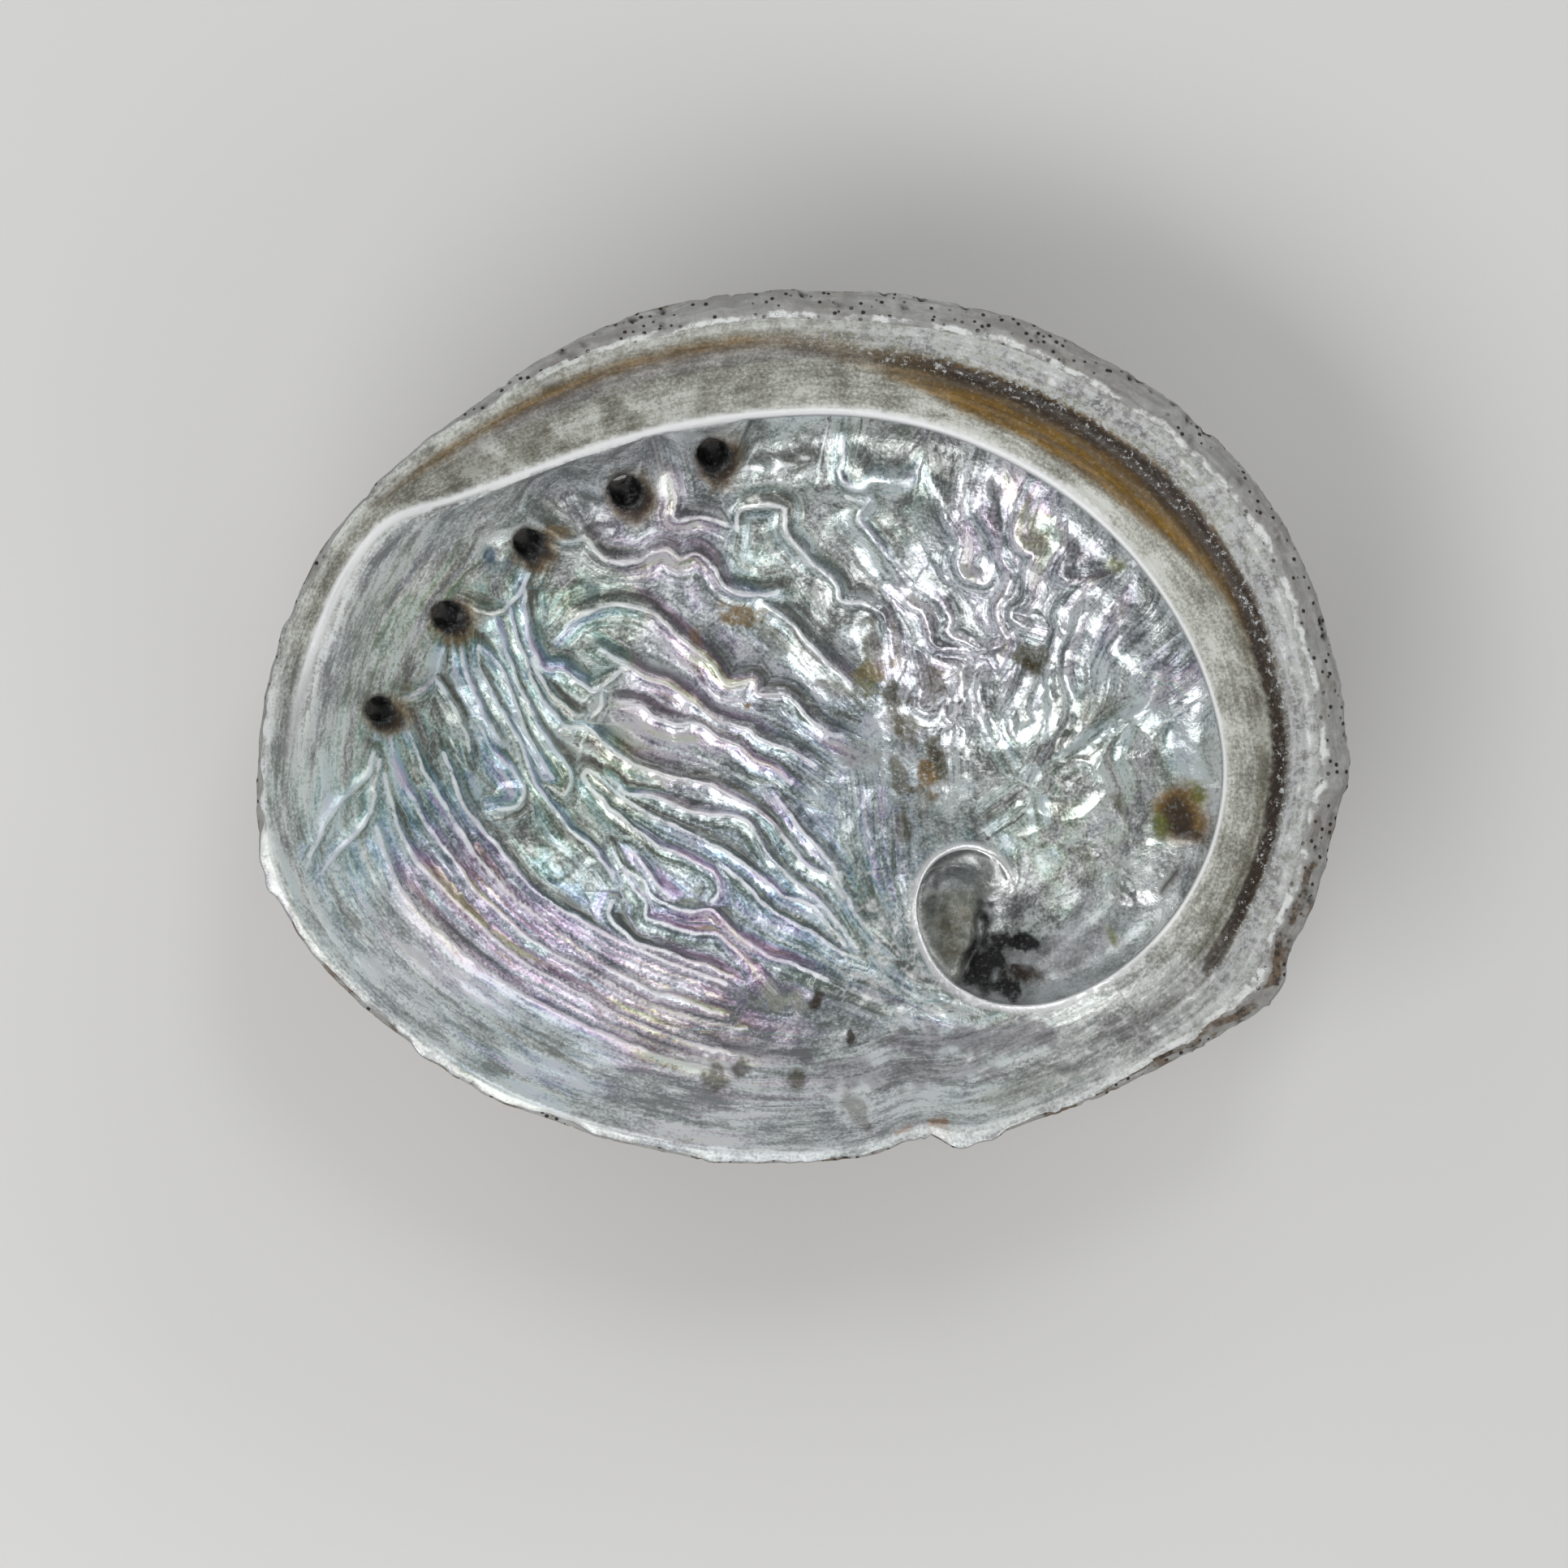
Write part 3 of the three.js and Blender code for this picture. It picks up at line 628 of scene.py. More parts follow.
def stepped(tree, value, low, high, toLow=0.0, toHigh=1.0):
    inputs = {"Value": value, "From Min": low, "From Max": high, "To Min": toLow, "To Max": toHigh}
    return addNode(tree, "ShaderNodeMapRange", inputs, interpolation_type="SMOOTHSTEP").outputs[0]


def vectorCalc(tree, operation, inputs, output=0):
    return addNode(tree, "ShaderNodeVectorMath", inputs, operation=operation).outputs[output]


def namedValue(tree, name, kind="FLOAT"):
    return addNode(tree, "GeometryNodeInputNamedAttribute", {"Name": name}, data_type=kind).outputs[0]


def foldTree():
    tree = bpy.data.node_groups.new("nacre folds and crust", "GeometryNodeTree")
    face = tree.interface
    face.new_socket("Geometry", in_out="INPUT", socket_type="NodeSocketGeometry")
    face.new_socket("Fold lines", in_out="INPUT", socket_type="NodeSocketObject")
    for name in (*foldInputs, *crust, "Seed"):
        face.new_socket(name, in_out="INPUT", socket_type="NodeSocketFloat")
    face.new_socket("Nacre", in_out="INPUT", socket_type="NodeSocketMaterial")
    face.new_socket("Crust", in_out="INPUT", socket_type="NodeSocketMaterial")
    face.new_socket("Geometry", in_out="OUTPUT", socket_type="NodeSocketGeometry")
    given = addNode(tree, "NodeGroupInput").outputs
    place = addNode(tree, "GeometryNodeInputPosition").outputs[0]

    def noise(size, detail, roughness=0.5):
        return addNode(
            tree, "ShaderNodeTexNoise",
            {"Vector": place, "W": given["Seed"], "Scale": calc(tree, "DIVIDE", 1.0, size), "Detail": detail,
             "Roughness": roughness},
            noise_dimensions="4D",
        )

    def uneven(size, height, detail, roughness=0.5, middle=0.5):
        swing = calc(tree, "SUBTRACT", noise(size, detail, roughness).outputs[0], middle)
        return times(tree, swing, times(tree, height, 2.0))

    # How far each point is from the nearest crest line, after a small sway of the lines.
    flat = vectorCalc(tree, "MULTIPLY", {0: place, 1: (1, 1, 0)})
    swayed = noise(given["Wobble size"], 2.0).outputs["Color"]
    sway = vectorCalc(tree, "SUBTRACT", {0: swayed, 1: (0.5, 0.5, 0.5)})
    sway = vectorCalc(tree, "MULTIPLY", {0: sway, 1: (1, 1, 0)})
    sway = vectorCalc(tree, "SCALE", {0: sway, "Scale": times(tree, given["Wobble"], 2.0)})
    asked = vectorCalc(tree, "ADD", {0: flat, 1: sway})
    lines = addNode(tree, "GeometryNodeObjectInfo", {"Object": given["Fold lines"]}).outputs["Geometry"]
    sample = {0: lines, "Sample Position": asked}
    near = addNode(tree, "GeometryNodeProximity", sample, target_element="EDGES")
    nearest = addNode(tree, "GeometryNodeSampleNearest", sample, domain="POINT")

    def onLine(name):
        return addNode(
            tree, "GeometryNodeSampleIndex",
            {"Geometry": lines, "Value": namedValue(tree, name), "Index": nearest.outputs[0]},
            data_type="FLOAT", domain="POINT",
        ).outputs[0]

    # A crest stands sharp on its line, falls fast on its steep side and slopes away gently on the other.
    away = vectorCalc(tree, "SUBTRACT", {0: asked, 1: near.outputs["Position"]})
    away = vectorCalc(tree, "NORMALIZE", {0: away})
    side = vectorCalc(tree, "DOT_PRODUCT", {0: away, 1: crestShape["steepSide"]}, "Value")
    ratio = calc(tree, "DIVIDE", near.outputs["Distance"], onLine("wide"))
    fall = stepped(tree, side, -0.7, 0.7, *crestShape["falls"])
    sharp = calc(tree, "EXPONENT", times(tree, calc(tree, "POWER", ratio, crestShape["sharpPower"]), -1.0))
    broad = calc(tree, "EXPONENT", times(tree, ratio, fall))
    sharpShare = crestShape["sharpShare"]
    crest = calc(tree, "ADD", times(tree, sharp, sharpShare), times(tree, broad, 1 - sharpShare))
    beads = noise(times(tree, given["Ripple size"], 0.6), 1.0).outputs[0]
    height = times(tree, crest, onLine("tall"), calc(tree, "MULTIPLY_ADD", beads, *crestShape["beads"]))
    for kind in ("Ripple", "Swell"):
        height = calc(tree, "ADD", height, uneven(given[f"{kind} size"], given[f"{kind} height"], 2.0))
    room = namedValue(tree, "foldRoom")
    height = times(tree, height, room)

    # Pits in the crust; the same mark gives them painted shade in the crust's colour.
    crustRoom = namedValue(tree, "crustRoom")
    pits = addNode(
        tree, "ShaderNodeTexVoronoi",
        {"Vector": place, "Scale": calc(tree, "DIVIDE", 1.0, given["Pit size"]), "Randomness": 1.0},
    ).outputs["Distance"]
    pitShape = stepped(tree, pits, 0.12, 0.3, 1.0, 0.0)
    rough = uneven(given["Crust size"], given["Crust height"], 5.0, 0.6, 0.42)
    rough = calc(tree, "SUBTRACT", rough, times(tree, pitShape, given["Pit depth"]))
    height = calc(tree, "MULTIPLY_ADD", rough, crustRoom, height)

    # A band of painted shade on each crest's steep side, kept as a mark for the nacre's colour.
    lee = times(tree, calc(tree, "SUBTRACT", ratio, crestShape["leeShadeAt"]), crestShape["leeShadeSharpness"])
    lee = calc(tree, "EXPONENT", times(tree, lee, lee, -1.0))
    lee = times(tree, lee, times(tree, calc(tree, "MAXIMUM", side, 0.0), onLine("dark")))
    shape = given["Geometry"]
    # The crest mark gives the painted highlight along each crest line, and the next mark the painted shade
    # behind it.
    for name, factors in (
        ("crest", (sharp, onLine("white"), room)), ("lee", (lee, room)),
        ("slope", (broad, room)), ("pit", (pitShape, crustRoom)),
    ):
        shape = addNode(
            tree, "GeometryNodeStoreNamedAttribute",
            {"Geometry": shape, "Name": name, "Value": times(tree, *factors)},
            data_type="FLOAT", domain="POINT",
        ).outputs[0]
    normal = addNode(tree, "GeometryNodeInputNormal").outputs[0]
    moved = addNode(
        tree, "GeometryNodeSetPosition",
        {"Geometry": shape, "Offset": vectorCalc(tree, "SCALE", {0: normal, "Scale": height})},
    ).outputs[0]
    onBack = namedValue(tree, "backFace", "BOOLEAN")
    real = addNode(tree, "GeometryNodeRealizeInstances", {"Geometry": moved}).outputs[0]
    inside = {"Geometry": real, "Material": given["Nacre"]}
    painted = addNode(tree, "GeometryNodeSetMaterial", inside).outputs[0]
    outside = {"Geometry": painted, "Selection": onBack, "Material": given["Crust"]}
    painted = addNode(tree, "GeometryNodeSetMaterial", outside).outputs[0]
    tree.links.new(painted, addNode(tree, "NodeGroupOutput").inputs[0])
    return tree


def setInputs(modifier, values):
    sockets = {s.name: s.identifier for s in modifier.node_group.interface.items_tree if s.in_out == "INPUT"}
    for name, value in values.items():
        modifier[sockets[name]] = value


def frozen(piece, name):
    shown = bpy.context.evaluated_depsgraph_get()
    seen = piece.evaluated_get(shown)
    mesh = bpy.data.meshes.new_from_object(seen, preserve_all_data_layers=True, depsgraph=shown)
    mesh.name = name
    bpy.data.objects.remove(piece)
    return placed(name, mesh)


relief = {
    "bumps": [  # x, y, half length, half width, turn in degrees, height
        (38.4, -8.4, 5.2, 4.6, 20, 1.0), (40, -16.9, 3.0, 1.3, -10, 0.6), (-3.8, -39.4, 4.2, 2.7, -15, 0.8),
        (31.6, -13.2, 3.4, 2.2, 10, 0.4), (46.2, -23, 1.6, 2.6, 25, 0.7), (50.4, -22, 2.2, 3.4, -40, 0.6),
        (54.6, -11.8, 3.9, 4.8, 15, 0.45), (54.5, -35.2, 4.0, 3.2, 30, 0.5), (46.5, -38, 5, 2.4, 30, 0.3),
        (-46.4, 31, 3.5, 1.4, 55, 0.4), (-34, 35.8, 4.5, 1.5, 20, 0.3), (-21, 39.6, 3.2, 1.5, 20, 0.35),
        (-3, 36, 2.6, 1.8, 0, 0.3), (7.2, 39.5, 2.4, 2.8, 0, 0.6), (20, 40, 3.6, 1.8, -25, 0.6),
        (26.6, 35, 1.6, 3, 15, 0.5), (27.6, 1, 1, 2.4, 5, 0.5), (30.4, 1, 0.9, 2.6, 0, 0.5),
        (50, -14.4, 2, 2.4, 60, 0.4),
        (-50.6, -3, 1.8, 3.4, 10, 0.5), (-44, -9, 2.6, 2, 0, 0.5), (-36.5, -19.6, 3.2, 2.4, 30, 0.5),
        (-45.5, -1, 1.6, 3, 20, 0.4), (-33.5, 20, 2.4, 3, -30, 0.6), (-8, -34.8, 1.6, 1.8, 0, 0.3),
    ],
    "dents": [  # x, y, radius, depth
        (-46.4, 25.8, 1.2, 0.9), (32.9, 10.2, 0.9, 0.8), (22.8, 4.7, 0.55, 0.7), (6.3, -44.8, 0.8, 0.6),
        (1.1, -39.2, 1.3, 0.8), (-7.4, -36, 0.5, 0.4), (41.2, -37.2, 0.6, 0.5), (42.9, -37.4, 0.5, 0.4),
        (38.9, -38.3, 0.8, 0.4), (-18.3, -47.6, 0.6, 0.4), (-21.5, -45.9, 0.7, 0.4), (7.1, -36, 0.8, 0.4),
        (-57.3, -3.4, 0.3, 0.3), (53.2, 2.2, 0.3, 0.3), (-28.6, -26.6, 0.5, 0.3), (23.4, -28, 0.5, 0.4),
    ],
    "lobeLine": [
        (28.4, -23.6), (26.2, -24.8), (25.9, -26.2), (25, -27.4), (24.9, -30.6), (23.4, -33.4), (22, -37.5),
    ],
    "lobeHeight": 3.4,
    "lobeRoom": (19.5, -30, 10.5),  # x, y, radius
    "beadHeight": 0.42,
    "growthHeight": 0.09,
    "backRings": [(46, 0.16, 1.5, 20, 31), (150, 0.06, 2.2, 16, 32)],  # count, height, bend, its size and seed
    "backRibs": (22, 0.14),  # count, height
}


def ovalShare(p, x, y, halfLength, halfWidth, turn):
    a = math.radians(turn)
    dx, dy = p[:, 0] - x, p[:, 1] - y
    along = dx * math.cos(a) + dy * math.sin(a)
    over = dy * math.cos(a) - dx * math.sin(a)
    return np.hypot(along / halfLength, over / halfWidth)


plan = insidePlan
facts = insideFacts
isShelf, isFloor = facts["onShelf"], ~facts["onShelf"]
fromEdge, lipGap = facts["distance"], facts["toLip"]
shelf = isShelf * (1 - facts["curl"]) * smooth(facts["share"], 0.02, 0.1)
inHollow = isFloor * facts["curl"]
seen = insideAt[:, :2].copy()
lobe = nearestOn(throughPoints(relief["lobeLine"], count=60), seen)
lobeSide = lobe["distance"] * np.where(lobe["side"] < 0, 1, -1)
lobeX, lobeY, lobeReach = relief["lobeRoom"]
lobeRoom = inHollow * smooth(fromEdge, 2.0, 5.0) * smooth(lobeReach - awayFrom(seen, lobeX, lobeY), 0, 2)
insideAt[:, 2] += relief["lobeHeight"] * smooth(lobeSide, -0.3, 0.8) * lobeRoom
bead = bell(fromEdge - 0.45, 0.4) * isShelf - 0.5 * bell(fromEdge, 0.25)
insideAt[:, 2] += relief["beadHeight"] * bead * smooth(facts["rise"], 0.3, 1.5)
for x, y, halfLength, halfWidth, turn, height in relief["bumps"]:
    s = ovalShare(seen, x, y, halfLength, halfWidth, turn) + 0.12 * waves(seen, 3.0, 21)
    insideAt[:, 2] += height * (1 - smooth(s, 0.45, 1.05))
for x, y, radius, depth in relief["dents"]:
    insideAt[:, 2] -= depth * bell(awayFrom(seen, x, y), radius)
lipBand = 1 - smooth(lipGap, 9, 17)
growth = np.sin(lipGap * 2.6 + 1.6 * waves(plan, 14, 22)) * lipBand * (1 - shelf)
growth += np.sin(fromEdge * 3.1 + 1.3 * waves(plan, 12, 23)) * shelf
insideAt[:, 2] += relief["growthHeight"] * growth * smooth(lipGap, 0.2, 1.5)

foldRoom = (1 - shelf) * smooth(fromEdge, 0.7, 2.4) * smooth(lipGap, 1.0, 4.0)
foldRoom *= smooth(gapToHoles(plan), 0.4, 2.2)
foldRoom *= (1 - 0.75 * inHollow) * (1 - 0.5 * bell(awayFrom(seen, 38, -16, 1.25), 10))

backShare = backFacts["share"]
backLift = sum(
    height * np.sin(backShare * count + bend * waves(backPlan, size, seed))
    for count, height, bend, size, seed in relief["backRings"]
)
ribCount, ribHeight = relief["backRibs"]
ribTurn = backFacts["angle"] * ribCount + 3.0 * backShare
backLift += ribHeight * np.sin(ribTurn + 1.2 * waves(backPlan, 18, 33)) * smooth(backShare, 0.2, 0.6)
backLift *= smooth(backShare, 0.2, 0.45)
backAt -= backFacts["up"] * backLift[:, None]
backAt[:, 2] = np.maximum(backAt[:, 2], 0)
holeRise = np.zeros(len(backPlan))
for x, y, r in holes:
    holeRise += bell(np.maximum(awayFrom(backPlan, x, y) - r, 0), 1.5)
# Painted shade about the holes' mouths on the back; it also darkens the outer end of each hole's wall.
holeMouth = bell(gapToHoles(backPlan), 1.3)
for x, y in throughPoints(ridgeLine[6:], step=8.5)[:, :2]:  # older holes the animal has closed
    away = awayFrom(backPlan, x, y)
    mound = form["closedHoleHeight"] * (bell(away, 2.6) - 0.7 * bell(away, 1.2))
    backAt -= backFacts["up"] * mound[:, None]
backAt -= backFacts["up"] * (form["holeTube"] * np.minimum(holeRise, 1))[:, None]


rimRings = {
    "lipSteps": 11, "lipBulge": 0.22, "holeSteps": 5, "holeBulge": -0.05,
    "crustStarts": (0.5, 0.12),  # share of the lip where the crust takes over, on the thin and the thick side
    "holeCrustStarts": 0.85,
    "roundness": 0.8,
}


def closedShell():
    # One closed skin: the inside, rings that round the lip over, the back, and a wall in each hole.
    verts = [insideAt, backAt]
    faces = [insideFaces, backFaces[:, ::-1] + len(insideAt)]
    backFace = [np.zeros(len(insideFaces), bool), np.ones(len(backFaces), bool)]
    total = len(insideAt) + len(backAt)
    links = []  # for each vertex of a ring: the two it lies between, how far over, the opening (0 is the lip)
    firstRings = [insideBorder] + insideRings
    lastRings = [backBorder + len(insideAt)] + [ring + len(insideAt) for ring in backRings]
    skin = np.vstack(verts)
    for k, (first, last) in enumerate(zip(firstRings, lastRings)):
        a, b = skin[first], skin[last]
        gap = np.linalg.norm(a - b, axis=1)[:, None]
        if k == 0:
            out = np.column_stack([outward, np.zeros(len(outward))])
            steps, bulge = rimRings["lipSteps"], rimRings["lipBulge"] * gap
            crustStarts = mix(*rimRings["crustStarts"], backFacts["shelfSide"][last - len(insideAt)])
        else:
            out = a - a.mean(0)
            out /= np.linalg.norm(out, axis=1)[:, None]
            steps, bulge = rimRings["holeSteps"], rimRings["holeBulge"] * gap
            crustStarts = rimRings["holeCrustStarts"]
        previous = first
        for s in range(1, steps + 1):
            t = s / steps
            swell = math.sin(math.pi * t)
            current = last
            if s < steps:
                ring = mix(a, b, t) + out * bulge * swell ** rimRings["roundness"]
                if k == 0:
                    ring += out * (ragged * swell)[:, None]
                current = np.arange(total, total + len(ring))
                verts.append(ring)
                links.append(np.column_stack([first, last, np.full(len(ring), t), np.full(len(ring), k)]))
                total += len(ring)
            after = np.roll(np.arange(len(first)), -1)
            quads = np.column_stack([previous, current, current[after], previous[after]])
            if k > 0:
                quads = quads[:, ::-1]
            faces.append(np.vstack([quads[:, [0, 1, 2]], quads[:, [0, 2, 3]]]))
            backFace.append(np.tile(np.broadcast_to(t > crustStarts, len(quads)), 2))
            previous = current
    return np.vstack(verts), np.vstack(faces), np.concatenate(backFace), np.vstack(links)


skinVerts, skinFaces, skinBack, ringLinks = closedShell()


def overSkin(inside, back):
    # A value for every vertex of the skin, blended across the rings.
    values = np.concatenate([inside, back])
    first, last = ringLinks[:, 0].astype(int), ringLinks[:, 1].astype(int)
    t = ringLinks[:, 2] if values.ndim == 1 else ringLinks[:, 2:3]
    return np.concatenate([values, mix(values[first], values[last], t)])


marks = {
    "amber": (0.165, 0.085, 0.0),
    "darkBrown": (0.022, 0.009, 0.001),
    "olive": (0.060, 0.047, 0.008),
    "oliveGreen": (0.13, 0.14, 0.014),
    "ochre": (0.19, 0.105, 0.018),
    # black of the deposit in the hollow, also used as painted shade in the holes
    "depositAndHoleShade": (0.006, 0.005, 0.005),
    "lobe": (0.21, 0.215, 0.17),
    "greyGreen": (0.33, 0.34, 0.29),
    "violetGrey": (0.36, 0.35, 0.38),
    "chalk": (0.70, 0.70, 0.69),
    "speckle": (0.66, 0.74, 0.70),
    "orange": (0.30, 0.14, 0.05),
    # dark grey of the painted shade under the curl's overhang
    "shadeUnderArch": (0.16, 0.18, 0.18),
    "mauve": (0.21, 0.19, 0.21),
    "blue": (0.10, 0.16, 0.22),
    "spots": [  # colour, x, y, half length, half width, turn, strength
        ("ochre", 54.6, -11.7, 4.6, 5.2, 15, 1.0), ("darkBrown", 54.2, -12.2, 2.6, 3.4, 10, 0.9),
        ("oliveGreen", 57.2, -9.2, 1.3, 2.4, 20, 0.9), ("oliveGreen", 51.4, -14.0, 1.3, 2.4, 10, 0.95),
        ("darkBrown", 55.2, -14.8, 2.4, 1.2, -10, 0.8), ("darkBrown", 53.2, -21.8, 0.9, 3.4, -38, 0.9),
        ("olive", 45.6, -10.8, 1.1, 2.2, 20, 0.8), ("oliveGreen", 45.4, 24.6, 1.9, 1.6, 0, 0.8),
        ("oliveGreen", 44.6, -30.0, 0.8, 2.2, 25, 0.75), ("ochre", -10.2, 17.6, 4.2, 2.0, -4, 0.85),
        ("olive", -5.5, 14.2, 4.4, 1.8, -38, 0.55), ("ochre", -16.6, 14.2, 1.2, 1.6, 20, 0.6),
        ("olive", 9.6, 13.4, 1.6, 3.4, 10, 0.7), ("oliveGreen", 9.2, 7.6, 3.0, 2.6, 10, 0.75),
        ("olive", 12.6, 4.8, 1.4, 5.4, 6, 0.8), ("olive", 13.6, -6.2, 1.9, 5.2, 4, 0.8),
        ("olive", 14.4, -14.6, 1.4, 4.4, 8, 0.7), ("olive", 4.2, 6.6, 5.0, 1.1, -22, 0.6),
        ("olive", 7.2, -3.0, 4.0, 2.4, -30, 0.5), ("olive", 19.4, -4.6, 2.2, 4.2, 14, 0.9),
        ("darkBrown", 19.2, -3.6, 1.0, 1.6, 10, 0.6), ("olive", 19.0, 7.8, 1.6, 2.6, 10, 0.6),
        ("olive", 17.6, -9.4, 1.4, 2.4, 30, 0.6), ("darkBrown", 33.0, 10.2, 1.1, 0.8, -30, 1.0),
        ("olive", 33.0, 10.8, 2.8, 2.0, 0, 0.75), ("olive", 42.6, 3.0, 3.2, 2.2, 30, 0.45),
        ("darkBrown", 22.8, 4.7, 0.5, 0.6, 0, 1.0), ("olive", -13.4, -50.6, 1.9, 2.0, 20, 0.75),
        ("darkBrown", -10.2, -49.0, 1.3, 1.1, 20, 0.75), ("olive", -1.6, -50.4, 1.1, 1.6, 0, 0.8),
        ("darkBrown", 6.3, -44.8, 0.8, 1.2, 0, 0.9), ("darkBrown", 1.2, -39.4, 1.1, 1.3, -30, 0.95),
        ("greyGreen", -4.2, -39.4, 3.7, 2.4, -15, 0.9), ("olive", 7.0, -54.4, 1.8, 3.4, 20, 0.5),
        ("ochre", -9.0, 4.1, 0.7, 0.6, 0, 0.9), ("blue", -46.4, 25.8, 1.0, 1.2, -30, 0.9),
        ("blue", -45.4, 24.2, 2.4, 1.2, 20, 0.5), ("oliveGreen", -7.0, -12.5, 3.5, 2.0, -30, 0.25),
        ("ochre", -37.0, 29.4, 2.2, 0.9, -10, 0.65), ("ochre", -57.2, 6.6, 4.0, 1.4, 45, 0.4),
        ("depositAndHoleShade", 26.2, -27.6, 1.4, 3.0, 0, 1.0), ("depositAndHoleShade", 28.4, -31.0, 4.0, 2.6, -8, 1.0),
        ("depositAndHoleShade", 32.6, -30.9, 3.2, 1.6, -12, 1.0), ("depositAndHoleShade", 26.4, -34.2, 3.6, 3.6, 20, 1.0),
        ("depositAndHoleShade", 28.0, -37.4, 4.8, 2.0, -5, 1.0), ("darkBrown", 32.0, -35.4, 3.0, 1.5, -10, 1.0),
        ("depositAndHoleShade", 24.2, -36.6, 2.6, 2.0, 30, 1.0), ("olive", 20.4, -30.0, 2.2, 4.6, 10, 0.45),
        ("orange", 18.5, -56.6, 1.8, 1.0, 15, 0.8), ("orange", 14.0, -57.6, 1.6, 1.0, 20, 0.7),
        ("chalk", 54.0, -35.4, 3.6, 3.2, 20, 0.35), ("ochre", 17.8, -6.0, 1.7, 3.4, 12, 0.85),
        ("ochre", 10.4, 9.0, 2.8, 1.8, 20, 0.6), ("olive", 15.0, 0.5, 1.7, 4.2, 5, 0.75),
        ("mauve", 26.0, -44.6, 15.0, 2.2, 3, 0.75), ("mauve", 45.0, -42.8, 7.0, 2.0, 24, 0.5),
        ("mauve", 14.0, -49.5, 13.0, 2.4, 4, 0.5), ("mauve", -8.0, -46.0, 8.0, 1.8, -8, 0.45),
        ("greyGreen", 34.0, -50.5, 9.0, 1.6, 18, 0.5), ("mauve", 40.0, -47.6, 6.0, 1.2, 20, 0.5),
    ],
    # points of the painted highlight line inside the curl
    "archHighlight": [(17.2, -24.6), (18.4, -21.6), (21, -19.4), (24.6, -18.4), (27.6, -19.4), (28.5, -21.4)],
    "holeHalo": 2.4,
    "stains": ("olive", "oliveGreen", "ochre"),  # these break up into speckles
}
glint = bell(awayFrom(seen, 31.2, -24, 0.8), 4.2) * isFloor


def flowPlace():
    # Where each point lies along and across the nearest fold, so that streaks can run with the folds.
    lines = [line[:, :2] for line, _ in foldLines()]
    middle = np.array(form["bowlCentre"])
    for inset in (0.985, 0.93, 0.87, 0.8):
        lines.append(middle + (lip[:, :2] - middle) * inset)
    tree = KDTree(sum(len(line) for line in lines))
    at, tangents, along = [], [], []
    for k, line in enumerate(lines):
        steps = np.gradient(line, axis=0)
        lengths = np.linalg.norm(steps, axis=1)
        at.append(line)
        tangents.append(steps / lengths[:, None])
        along.append(k * 37.0 + np.cumsum(lengths))
    at, tangents, along = np.vstack(at), np.vstack(tangents), np.concatenate(along)
    for k, (x, y) in enumerate(at):
        tree.insert((x, y, 0), k)
    tree.balance()
    found, away = zip(*(tree.find((x, y, 0))[1:] for x, y in plan))
    found, away = np.array(found), np.array(away)
    off = plan - at[found]
    across = tangents[found, 0] * off[:, 1] - tangents[found, 1] * off[:, 0]
    flow = np.column_stack([along[found] * 0.13, across, np.zeros(len(plan))])
    shelfFlow = np.column_stack([facts["share"] * 40, facts["across"] * 13, np.full(len(plan), 40.0)])
    return np.where((shelf > 0.5)[:, None], shelfFlow, flow) / 1000, 1 - 0.85 * smooth(away, 2.2, 5.0)


